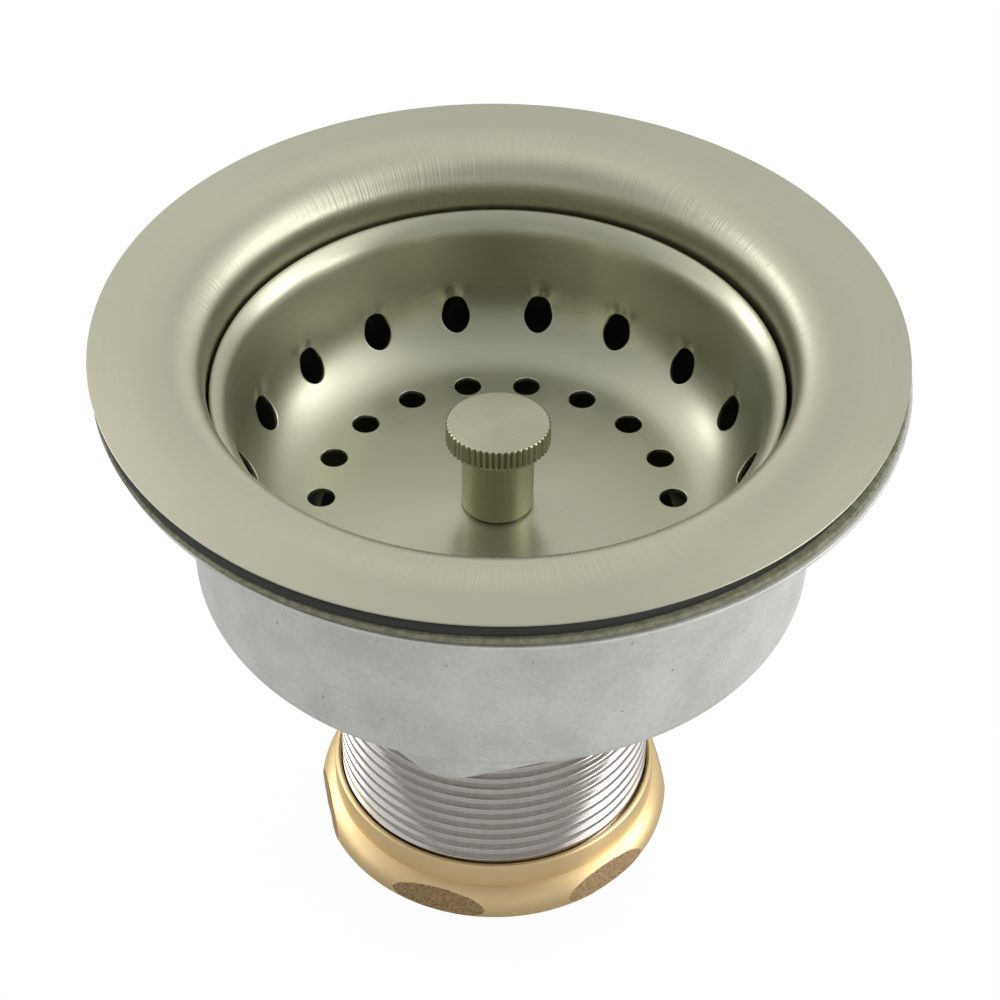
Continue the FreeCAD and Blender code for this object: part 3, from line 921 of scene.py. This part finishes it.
@dataclass
class Tail:
    """Threaded tail under the bowl."""

    crest: float = 23.75
    root: float = 22.75
    bore: float = 20.8
    top: float = -35.9
    end: float = -87.0
    pitch: float = 25.4 / 11.5
    land: float = 0.95
    groove: float = 0.12
    phase: float = 1.223
    soft: float = 0.07
    steps: int = 96

    def thread(self) -> Piece:
        """Wind the thread's section up the tail and cut its ends square.

        Returns:
            The thread's skin.
        """
        flank = (self.pitch - self.land - self.groove) / 2
        rounded = self.crest - self.soft * 0.6
        section = (
            (self.crest, self.soft),
            (self.crest, self.land - self.soft),
            (rounded, self.land),
            (self.root, self.land + flank),
            (self.root, self.land + flank + self.groove),
            (rounded, self.pitch),
            (self.crest, self.pitch + self.soft),
        )
        low = self.end - self.pitch + self.phase
        piece = Bench.chain("thread_skin", Bench.profile([(r, low + z) for r, z in section]))
        Bench.modify(
            piece,
            "SCREW",
            axis="Z",
            angle=TURN,
            screw_offset=self.pitch * MM,
            iterations=math.ceil((self.top - self.end) / self.pitch) + 2,
            steps=self.steps,
            render_steps=self.steps,
            use_merge_vertices=True,
            merge_threshold=Bench.MERGE,
        )
        for height, up in ((self.top, 1), (self.end, -1)):
            with Bench.editing(piece):
                place = (0, 0, height * MM)
                bpy.ops.mesh.bisect(plane_co=place, plane_no=(0, 0, up), clear_outer=True)
        with Bench.editing(piece):
            Bench.weld()
        return piece

    def lining(self) -> Piece:
        """Turn the tail's bore and its two square ends.

        Returns:
            The lining.
        """
        out = self.crest - 0.3
        places = ((out, self.top), (self.bore, self.top), (self.bore, self.end), (out, self.end))
        return Bench.turned("tail_lining", Bench.profile(places), 192, closed=False)

    def build(self) -> None:
        """Join the thread and the bore."""
        piece = Bench.join("threaded_tail", [self.thread(), self.lining()])
        Bench.smooth(piece, 25.0)
        Bench.hand_over(piece, TurnedSteel("plated_thread"), Body.STRAINER, "threaded_tailpiece")


@dataclass
class LockNut:
    """Cast hexagon nut under the cup."""

    flats: float = 54.4
    corner: float = 7.2
    bore: float = 23.95
    top: float = -39.3
    under: float = -57.3
    turn: float = -15.75
    soft: float = 0.8

    def cylinder(self, sides: int, radius: float, height: float, turn: float = 0.0) -> Piece:
        """Stand a prism at the nut's middle.

        Args:
            sides: Its number of sides.
            radius: The radius of its corners.
            height: Its height.
            turn: Its turn about the axis, in degrees.

        Returns:
            The prism.
        """
        bpy.ops.mesh.primitive_cylinder_add(
            vertices=sides,
            radius=radius * MM,
            depth=height * MM,
            location=(0, 0, (self.top + self.under) / 2 * MM),
            rotation=(0, 0, math.radians(turn)),
        )
        bpy.ops.object.transform_apply(location=True, rotation=True, scale=True)
        return bpy.context.object

    def build(self) -> None:
        """Bevel a six-sided block, bore it and soften its edges."""
        height = self.top - self.under
        piece = self.cylinder(6, self.flats / 2 / math.cos(math.pi / 6), height, self.turn)
        piece.name = piece.data.name = "cast_lock_nut"
        with Bench.editing(piece):
            bpy.ops.mesh.select_mode(type="EDGE")
            bpy.ops.mesh.select_all(action="DESELECT")
        for edge in piece.data.edges:
            ends = [piece.data.vertices[index].co for index in edge.vertices]
            edge.select = abs(ends[0].z - ends[1].z) > height * MM / 2
        bpy.ops.object.mode_set(mode="EDIT")
        bpy.ops.mesh.bevel(offset=self.corner * math.tan(math.pi / 6) * MM, segments=8)
        bpy.ops.mesh.select_mode(type="VERT")
        bpy.ops.object.mode_set(mode="OBJECT")
        plug = self.cylinder(128, self.bore, height * 1.5)
        Bench.modify(piece, "BOOLEAN", operation="DIFFERENCE", object=plug)
        bpy.data.objects.remove(plug)
        limit = math.radians(50)
        Bench.modify(piece, "BEVEL", width=self.soft * MM, segments=3, angle_limit=limit)
        Bench.smooth(piece, 30.0)
        Bench.hand_over(piece, CastZinc("cast_zinc_rough", grain=0.12), Body.STRAINER, "lock_nut")


@dataclass
class CouplingNut:
    """Brass nut turned from a hexagon forging."""

    belly: float = 27.1
    belly_round: float = 3.7
    belly_rise: float = 2.5
    collar: float = 24.9
    foot: float = -91.4
    height: float = 10.1
    bore: float = 23.95
    soft: float = 0.35
    lip_hole: float = 19.4
    lip: float = 2.5
    flats: float = 52.3
    turn: float = 10.2

    def outline(self) -> list[Vector]:
        """Return the nut's turned outline.

        Returns:
            The outline's points, in metres.
        """
        centre_r = self.belly - self.belly_round
        centre_z = self.foot + self.belly_rise
        low = -math.asin(self.belly_rise / self.belly_round)
        high = math.acos((self.collar - centre_r) / self.belly_round)
        places = [(self.lip_hole, self.foot)]
        steps = 24
        for step in range(steps + 1):
            angle = low + (high - low) * step / steps
            r = centre_r + self.belly_round * math.cos(angle)
            places.append((r, centre_z + self.belly_round * math.sin(angle)))
        top = self.foot + self.height
        floor = self.foot + self.lip
        for inwards, down in ((0.0, 0.5), (0.07, 0.25), (0.25, 0.07), (0.5, 0.0)):
            places.append((self.collar - inwards, top - down))
        places += [(self.bore + self.soft, top), (self.bore, top - self.soft)]
        places += [(self.bore, floor), (self.lip_hole, floor)]
        return Bench.profile(places)

    def build(self) -> None:
        """Turn the nut and slice its six forged flats."""
        piece = Bench.turned("forged_nut", self.outline(), 256)
        for step in range(6):
            angle = math.radians(self.turn + 60 * step)
            out = Vector((math.cos(angle), math.sin(angle), 0))
            place = out * (self.flats / 2 * MM)
            with Bench.editing(piece):
                bpy.ops.mesh.bisect(plane_co=place, plane_no=out, use_fill=True, clear_outer=True)
        Bench.smooth(piece, 25.0)
        finish = ForgedBrass("brass", flat_reach=self.flats / 2, turn=self.turn)
        Bench.hand_over(piece, finish, Body.NUT, "coupling_nut")


@dataclass
class Basket:
    """Drawn basket with a rolled lip and two rings of holes."""

    sheet: float = 0.6
    floor: float = -28.7
    wall: float = 37.3
    lean: float = 0.2
    corner: float = 10.0
    flare: float = 3.7
    slope: float = 25.0
    hem: float = 0.45
    lip_top: float = -6.7
    skirt: float = 2.3
    ease: float = 1.6
    eye: float = 2.1
    count: int = 18
    turn: float = -0.95
    tilt: float = 0.4
    floor_hole: float = 1.98
    floor_ring: float = 25.6
    side_low: tuple[float, float] = (-23.365, 2.12)
    side_top: tuple[float, float] = (-22.335, 1.8)
    dent_depth: float = 0.15
    ridge_height: float = 0.07
    across: int = 16
    rim_round: float = 0.13
    stride: float = 0.05

    def __post_init__(self) -> None:
        """Trace the sheet's inner skin from the axis to the skirt, by its heading."""
        self.bend = self.wall - self.corner
        self.bend_end = self.bend + self.corner * math.pi / 2
        self.droop = math.radians(self.slope)
        rise = self.lip_top - self.flare * math.cos(self.droop) - (self.floor + self.corner)
        self.lip = self.bend_end + rise
        self.upright = math.pi / 2 - math.atan(self.lean / rise)
        self.turned = self.lip + self.flare * (self.upright - self.droop)
        last = self.gentle(self.turned)
        roll = self.hem * (last + math.pi / 2)
        self.lip_end = self.turned + roll
        self.edge = self.lip_end + self.skirt
        self.trace: list[tuple[Vector, Vector]] = []
        place = Vector((0.0, self.floor))
        for step in range(math.ceil(self.edge / self.stride) + 2):
            along = step * self.stride
            angle = self.gentle(along)
            if along > self.turned:
                angle = last - (last + math.pi / 2) * min(1.0, (along - self.turned) / roll)
            ahead = Vector((math.cos(angle), math.sin(angle)))
            self.trace.append((place.copy(), Vector((ahead.y, -ahead.x))))
            place += ahead * self.stride
        self.side_rim = self.along_of(1, self.side_top[0] + self.side_top[1])

    def heading(self, along: float) -> float:
        """Return which way the profile runs before it is eased.

        Args:
            along: Distance along the profile from the axis.

        Returns:
            The angle above level, in radians.
        """
        if along < self.bend_end:
            return self.upright * clamped((along - self.bend) / (self.bend_end - self.bend))
        share = clamped((along - self.lip) / (self.turned - self.lip))
        return self.upright + (self.droop - self.upright) * share

    def gentle(self, along: float) -> float:
        """Return the heading, eased over a short stretch of the profile."""
        return sum(self.heading(along + self.ease * (step / 6 - 1)) for step in range(13)) / 13

    def skin(self, along: float) -> tuple[Vector, Vector]:
        """Return the inner skin's point and its outward normal.

        Args:
            along: Distance along the profile from the axis.

        Returns:
            The point and the normal, each as (radius, height).
        """
        step = min(int(along / self.stride), len(self.trace) - 2)
        share = along / self.stride - step
        here, there = self.trace[step], self.trace[step + 1]
        return here[0].lerp(there[0], share), here[1].lerp(there[1], share).normalized()

    def along_of(self, part: int, wanted: float) -> float:
        """Find a radius or a height on the profile.

        Args:
            part: 0 for a radius, 1 for a height.
            wanted: The radius or height.

        Returns:
            The distance along the profile where it is reached.
        """
        start = 0 if part == 0 else int(self.bend / self.stride)
        for step in range(start, len(self.trace) - 1):
            here, there = self.trace[step][0][part], self.trace[step + 1][0][part]
            if here <= wanted < there:
                return (step + (wanted - here) / (there - here)) * self.stride
        raise ValueError(f"the profile never reaches {wanted}")

    def dent(self, angle: float, along: float) -> float:
        """Return how far the punch pushed the sheet outwards above a side hole.

        Args:
            angle: Angle about the axis from the sector's middle.
            along: Distance along the inner skin.

        Returns:
            The dent's depth, less the ridge between its two halves.
        """
        above = along - self.side_rim
        if not -2.0 < above < 5.0:
            return 0.0
        sideways = self.skin(along)[0].x * math.sin(angle)
        depth = 0.0
        for side in (-1, 1):
            near = ((sideways - side * 1.45) / 1.0) ** 2 + ((above - 0.55) / 1.05) ** 2
            depth += self.dent_depth * math.exp(-near)
        ridge = (sideways / 0.55) ** 2 + ((above - 0.8) / 1.0) ** 2
        return depth - self.ridge_height * math.exp(-ridge)

    def point(self, angle: float, along: float, depth: float) -> Vector:
        """Return a point of the sheet.

        Args:
            angle: Angle about the axis from the sector's middle.
            along: Distance along the inner skin.
            depth: Depth into the sheet from its inner skin.

        Returns:
            The point in metres.
        """
        place, out = self.skin(along)
        place = place + out * (depth + self.dent(angle, along))
        turned = angle + math.radians(self.turn)
        return Vector((place.x * math.cos(turned), place.x * math.sin(turned), place.y)) * MM

    def floor_outline(self, turn: float) -> tuple[float, float]:
        """Return a place on the round floor hole's edge.

        Args:
            turn: The direction from the hole's middle.

        Returns:
            The place as (angle, distance along).
        """
        x = self.floor_ring + self.floor_hole * math.sin(turn)
        y = self.floor_hole * math.cos(turn)
        return math.atan2(y, x), self.along_of(0, math.hypot(x, y))

    def side_outline(self, turn: float) -> tuple[float, float]:
        """Return a place on the egg-shaped side hole's edge.

        Args:
            turn: The direction from the hole's middle.

        Returns:
            The place as (angle, distance along).
        """
        low_z, low_r = self.side_low
        top_z, top_r = self.side_top
        middle = (low_z - low_r + top_z + top_r) / 2
        aim = Vector((math.cos(turn), math.sin(turn)))
        reach = 0.0
        steps = 32
        for step in range(steps + 1):
            share = step / steps
            centre = Vector((0.0, low_z + (top_z - low_z) * share - middle))
            radius = low_r + (top_r - low_r) * share
            beside = aim.dot(centre)
            inside = radius**2 - centre.length_squared + beside**2
            if inside > 0:
                reach = max(reach, beside + math.sqrt(inside))
        along = self.along_of(1, middle + aim.y * reach)
        return math.asin(aim.x * reach / self.skin(along)[0].x), along

    def build(self) -> None:
        """Make one pierced sector, copy it round and join the copies."""
        piece = Sector(self).build("pierced_basket")
        rest = TURN - TURN / self.count
        middle = (0, 0, self.floor * MM)
        with Bench.editing(piece):
            bpy.ops.mesh.spin(
                steps=self.count - 1, dupli=True, angle=rest, center=(0, 0, 0), axis=(0, 0, 1)
            )
            Bench.weld()
            tilt = math.radians(self.tilt)
            bpy.ops.transform.rotate(value=tilt, orient_axis="Y", center_override=middle)
        Bench.smooth(piece, 50.0)
        finish = BrushedNickel(
            "brushed_nickel_basket",
            colour=(0.467, 0.468, 0.363),
            roughness=0.29,
            fine=3000.0,
            drift=2.0,
            spread=0.06,
            depth=0.0015,
            contrast=0.04,
            stretch=0.88,
        )
        Bench.hand_over(piece, finish, Body.BASKET, "basket_shell")


Place = tuple[float, float]


class Sector:
    """The mesh of one pierced sector of the basket's sheet, as it grows.

    A place is an angle from the sector's middle and a distance along the profile.
    """

    FLOOR = (22.4, 28.8)
    SIDE = (34.0, 46.2)
    FLOOR_ROWS = (5.0, 9.0, 13.0, 17.0, 20.0)
    BEND_STEP = 0.65
    LIP_START = 1.6
    LIP_STEPS = 32

    def __init__(self, basket: Basket) -> None:
        """Start an empty mesh with even columns of points.

        Args:
            basket: The basket whose sheet is pierced.
        """
        self.basket = basket
        self.half = math.pi / basket.count
        sides = range(basket.across + 1)
        self.columns = [self.half * (2 * step / basket.across - 1) for step in sides]
        self.points: list[Vector] = []
        self.faces: list[list[int]] = []

    def put(self, angle: float, along: float, depth: float) -> int:
        """Add a point of the sheet and return its number."""
        self.points.append(self.basket.point(angle, along, depth))
        return len(self.points) - 1

    def quad(self, corners: Sequence[int], inner: bool) -> None:
        """Add a face, the other way round where it looks outwards."""
        self.faces.append(list(corners) if inner else list(reversed(corners)))

    def rows(self, stations: Sequence[float], depth: float) -> None:
        """Fill whole rows of faces on one skin.

        Args:
            stations: Where the rows begin and end along the profile.
            depth: The skin's depth in the sheet.
        """
        grid = [[self.put(angle, along, depth) for angle in self.columns] for along in stations]
        for low, high in pairwise(grid):
            for (a, d), (b, c) in pairwise(zip(low, high)):
                self.quad((a, b, c, d), depth == 0.0)

    def border(self, low: float, high: float, up: int) -> list[Place]:
        """Return the places round a block's four sides.

        Args:
            low: Where the block begins along the profile.
            high: Where it ends.
            up: Its number of faces along the profile.

        Returns:
            The places in order.
        """
        rises = [(high - low) * step / up for step in range(up)]
        places = [(angle, low) for angle in self.columns[:-1]]
        places += [(self.half, low + rise) for rise in rises]
        places += [(angle, high) for angle in reversed(self.columns[1:])]
        return places + [(-self.half, high - rise) for rise in rises]

    def spoke(self, hole: Place, end: Place) -> list[list[int]]:
        """Add the points from a hole's edge out to its block's side.

        Args:
            hole: The place on the hole's edge, whose rim is rounded inside the basket.
            end: The place on the block's side.

        Returns:
            The points' numbers on the inner skin, and on the outer one.
        """
        rim = self.basket.rim_round
        place, _ = self.basket.skin(hole[1])
        wide, tall = end[0] - hole[0], end[1] - hole[1]
        near = rim / math.hypot(wide * place.x, tall)
        inner = [(0.0, rim), (near * 0.3, rim * 0.3), (near, 0.0)]
        inner += [(near + (1 - near) * (step / 9) ** 1.5, 0.0) for step in range(1, 10)]
        outer = [((step / 6) ** 1.5, self.basket.sheet) for step in range(7)]
        return [
            [self.put(hole[0] + wide * share, hole[1] + tall * share, depth) for share, depth in path]
            for path in (inner, outer)
        ]

    def pierce(self, low: float, high: float, up: int, shape: Callable[[float], Place]) -> None:
        """Fill a block round one hole, on both skins and through the sheet.

        Args:
            low: Where the block begins along the profile.
            high: Where it ends.
            up: Its number of faces along the profile.
            shape: The hole's edge, by the direction from its middle.
        """
        middle, reach = (low + high) / 2, (high - low) / 2
        spokes = []
        for end in self.border(low, high, up):
            turn = math.atan2((end[1] - middle) / reach, end[0] / self.half)
            spokes.append(self.spoke(shape(turn), end))
        for here, there in pairwise([*spokes, spokes[0]]):
            for inner, left, right in zip((True, False), here, there):
                for (d, c), (a, b) in pairwise(zip(left, right)):
                    self.quad((a, b, c, d), inner)
            self.quad((here[0][0], there[0][0], there[1][0], here[1][0]), True)

    def build(self, name: str) -> Piece:
        """Fill both skins, pierce the two holes and close the sheet's edges.

        Args:
            name: The new piece's name.

        Returns:
            The sector.
        """
        basket = self.basket
        start = basket.lip - self.LIP_START
        rise = start - self.SIDE[1]
        roll = basket.lip_end - basket.lip + self.LIP_START
        steps = range(self.LIP_STEPS + 1)
        for depth in (0.0, basket.sheet):
            self.rows([basket.eye, *self.FLOOR_ROWS, self.FLOOR[0]], depth)
            bend = [self.FLOOR[1] + step * self.BEND_STEP for step in range(8)]
            self.rows([*bend, self.SIDE[0]], depth)
            self.rows([self.SIDE[1] + rise * step / 6 for step in range(7)], depth)
            self.rows([*(start + roll * step / self.LIP_STEPS for step in steps), basket.edge], depth)
        self.pierce(*self.FLOOR, 10, basket.floor_outline)
        self.pierce(*self.SIDE, 20, basket.side_outline)
        for along, flip in ((basket.edge, True), (basket.eye, False)):
            for left, right in pairwise(self.columns):
                ends = ((left, 0.0), (right, 0.0), (right, basket.sheet), (left, basket.sheet))
                self.quad([self.put(angle, along, depth) for angle, depth in ends], flip)
        mesh = bpy.data.meshes.new(name)
        mesh.from_pydata(self.points, [], self.faces)
        piece = bpy.data.objects.new(name, mesh)
        bpy.context.scene.collection.objects.link(piece)
        return piece


@dataclass
class Knob:
    """Turned knob with a straight-knurled head, screwed on a little out of true."""

    radius: float = 7.55
    top: float = -14.15
    head: float = 3.35
    soft: float = 0.4
    crown: float = 0.2
    grooves: int = 52
    depth: float = 0.36
    shank: float = 5.22
    foot: float = -28.85
    eye: float = 2.1
    lean: float = 4.0
    forward: float = 0.9
    groove: tuple[float, ...] = (0.0, 0.3, 0.65, 0.94, 1.0, 0.94, 0.65, 0.3)

    def build(self) -> None:
        """Knurl a ring, close it with the crowned top and the shank, and lean it back."""
        piece = Bench.join("knurled_knob", [self.knurl(), self.cap(), self.stem()])
        lean, foot = math.radians(self.lean), (0, 0, self.foot * MM)
        with Bench.editing(piece):
            Bench.weld()
            bpy.ops.transform.rotate(value=lean, orient_axis="X", center_override=foot)
            bpy.ops.transform.translate(value=(0, -self.forward * MM, 0))
        Bench.smooth(piece, 30.0)
        finish = BrushedNickel(
            "brushed_nickel_knob",
            colour=(0.445, 0.436, 0.32),
            roughness=0.22,
            fine=2600.0,
            spread=0.08,
            depth=0.002,
            stretch=0.8,
        )
        Bench.hand_over(piece, finish, Body.BASKET, "knob")

    def edge(self, share: float) -> tuple[float, float]:
        """Return a place on the head's rounded top edge.

        Args:
            share: How far up the edge it is.

        Returns:
            Its radius and height.
        """
        angle = share * math.pi / 2
        face = self.top - self.crown
        r = self.radius - self.soft * (1 - math.cos(angle))
        return r, face - self.soft * (1 - math.sin(angle))

    def knurl(self) -> Piece:
        """Extrude the head's ring and press its grooves in, through the rounded edge above.

        Returns:
            The knurled ring.
        """
        under = self.top - self.head
        total = self.grooves * len(self.groove)
        place = (0, 0, under * MM)
        bpy.ops.mesh.primitive_circle_add(vertices=total, radius=self.radius * MM, location=place)
        piece = bpy.context.object
        bpy.ops.object.transform_apply(location=True)
        levels = [(self.radius, under), *(self.edge(step / 8) for step in range(9))]
        with Bench.editing(piece):
            for low, high in pairwise(levels):
                lift = (0, 0, (high[1] - low[1]) * MM)
                bpy.ops.mesh.extrude_region_move(TRANSFORM_OT_translate={"value": lift})
        for vertex in piece.data.vertices:
            angle = math.atan2(vertex.co.y, vertex.co.x)
            share = self.groove[round(angle / TURN * total) % len(self.groove)]
            limit = min(levels, key=lambda level: abs(level[1] * MM - vertex.co.z))[0]
            reach = min(limit, self.radius - self.depth * (1 - share))
            vertex.co.x = reach * MM * math.cos(angle)
            vertex.co.y = reach * MM * math.sin(angle)
        return piece

    def cap(self) -> Piece:
        """Turn the crowned top.

        Returns:
            The top.
        """
        reach, face = self.edge(1.0)
        radii = [reach * (1 - step / 16) for step in range(17)]
        points = Bench.profile([(r, face + self.crown * (1 - (r / reach) ** 2)) for r in radii])
        return Bench.turned("knob_crown", points, self.grooves * len(self.groove), closed=False)

    def stem(self) -> Piece:
        """Turn the head's underside and the shank.

        Returns:
            The stem.
        """
        under = self.top - self.head
        places = (
            (self.radius - self.depth, under),
            (self.shank + 0.25, under),
            (self.shank, under - 0.25),
            (self.shank, self.foot + 0.45),
            (self.shank - 0.25, self.foot + 0.2),
            (self.shank - 0.3, self.foot),
            (self.eye, self.foot),
        )
        return Bench.turned("knob_shank", Bench.profile(places), 128, closed=False)


class InnerParts:
    """The pieces inside the waste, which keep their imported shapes."""

    STEEL = ("centre_stud", "backing_plate", "catch_post", "crossbar")
    RUBBER = ("stopper", "catch_ring", "tailpiece_washer")

    def __init__(self, nodes: dict[str, Piece]) -> None:
        """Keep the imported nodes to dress."""
        self.nodes = nodes

    def build(self) -> None:
        """Give the inner pieces their finishes."""
        steel = TurnedSteel("plain_steel", (0.5, 0.5, 0.48), 0.3).material()
        rubber = Rubber("black_rubber_inside").material()
        for names, material in ((self.STEEL, steel), (self.RUBBER, rubber)):
            for name in names:
                self.nodes[name].data.materials.clear()
                self.nodes[name].data.materials.append(material)
                log.info("%s: dressed", name)


# Studio


@dataclass(frozen=True)
class Glow:
    """One soft glow of the studio's walls, seen from the part."""

    azimuth: float
    height: float
    strength: float
    sharpness: float = 20.0

    def towards(self) -> tuple[float, float, float]:
        """Return the direction to the glow's middle."""
        around, up = math.radians(self.azimuth), math.radians(self.height)
        return (math.cos(up) * math.sin(around), math.cos(up) * math.cos(around), math.sin(up))


GLOWS = (
    Glow(22, 4, 0.4),
    Glow(90, 4, 1.01),
    Glow(112, 4, 7.0, 50),
    Glow(157, 4, 0.38),
    Glow(202, 4, 0.48),
    Glow(270, 4, 1.15),
    Glow(337, 4, 0.55),
    Glow(84, 24, 4.1, 50),
    Glow(108, 24, 0.52),
    Glow(300, 24, 4.6, 50),
    Glow(65, 46, 0.86),
    Glow(98, 46, 0.96),
    Glow(294, 46, 0.20),
    Glow(327, 46, 0.57),
)


@dataclass
class Studio:
    """Camera, pale floor and soft light; the floor lies below the lowest that the nut goes."""

    eye: tuple[float, float, float] = (0.0, -0.33493, 0.27152)
    aim: tuple[float, float, float] = (0.000392, 0.0, -0.02922)
    lens: float = 111.33
    roll: float = 0.798
    azimuth: float = -1.55
    floor_z: float = -98.0
    floor_radius: float = 3.0
    even_light: float = 0.77
    dark_side: float = 0.4

    def build(self) -> None:
        """Show colours as they are written, and set up the whole studio."""
        bpy.context.scene.view_settings.view_transform = "Standard"
        self.make_camera()
        self.make_floor()
        self.make_world()

    def make_camera(self) -> None:
        """Place the camera."""
        data = bpy.data.cameras.new("camera")
        data.lens = self.lens
        data.sensor_width = 36.0
        data.clip_start = 0.01
        camera = bpy.data.objects.new("camera", data)
        bpy.context.scene.collection.objects.link(camera)
        around = Quaternion((0, 0, 1), math.radians(self.azimuth))
        look = around @ (Vector(self.aim) - Vector(self.eye))
        camera.rotation_mode = "QUATERNION"
        turned = look.to_track_quat("-Z", "Y")
        camera.rotation_quaternion = turned @ Quaternion((0, 0, 1), math.radians(self.roll))
        camera.location = around @ Vector(self.eye)
        bpy.context.scene.camera = camera

    def make_floor(self) -> None:
        """Lay the pale floor, which keeps a soft shadow."""
        place = (0, 0, self.floor_z * MM)
        bpy.ops.mesh.primitive_circle_add(
            vertices=96, radius=self.floor_radius, fill_type="NGON", location=place
        )
        floor = bpy.context.object
        floor.name = "floor"
        floor.data.materials.append(PaleFloor("pale_floor").material())

    def make_world(self) -> None:
        """Surround the part with plain light, seen as white by the camera."""
        world = bpy.data.worlds.new("studio")
        bpy.context.scene.world = world
        world.use_nodes = True
        shader = Shader(world.node_tree)
        seen = shader.add("ShaderNodeLightPath", output="Is Camera Ray")
        aim = shader.add("ShaderNodeTexCoord", output="Generated")
        _, y, _ = shader.split(aim)
        light = (1.0 - (y * -1.0).between(-0.2, 0.9) * self.dark_side) * self.even_light
        for glow in GLOWS:
            settings = {"operation": "DOT_PRODUCT"}
            near = shader.add("ShaderNodeVectorMath", settings, {0: aim, 1: glow.towards()}, "Value")
            light = ((near - 1.0) * glow.sharpness).exponent() * glow.strength + light
        soft = shader.add("ShaderNodeBackground", inputs={"Color": WHITE, "Strength": light})
        white = shader.add("ShaderNodeBackground", inputs={"Color": WHITE, "Strength": 1.0})
        shader.add("ShaderNodeOutputWorld", inputs={"Surface": shader.blend(seen, soft, white)})


def main() -> None:
    """Load the frame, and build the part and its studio."""
    logging.basicConfig(level=logging.INFO, format="%(name)s: %(message)s")
    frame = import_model()
    inner = InnerParts(frame["nodes"])
    outer = (StrainerBody(), ClampStack(), Tail(), LockNut(), CouplingNut(), Basket(), Knob())
    for assembly in (*outer, inner, Studio()):
        assembly.build()


if __name__ == "__main__":
    main()
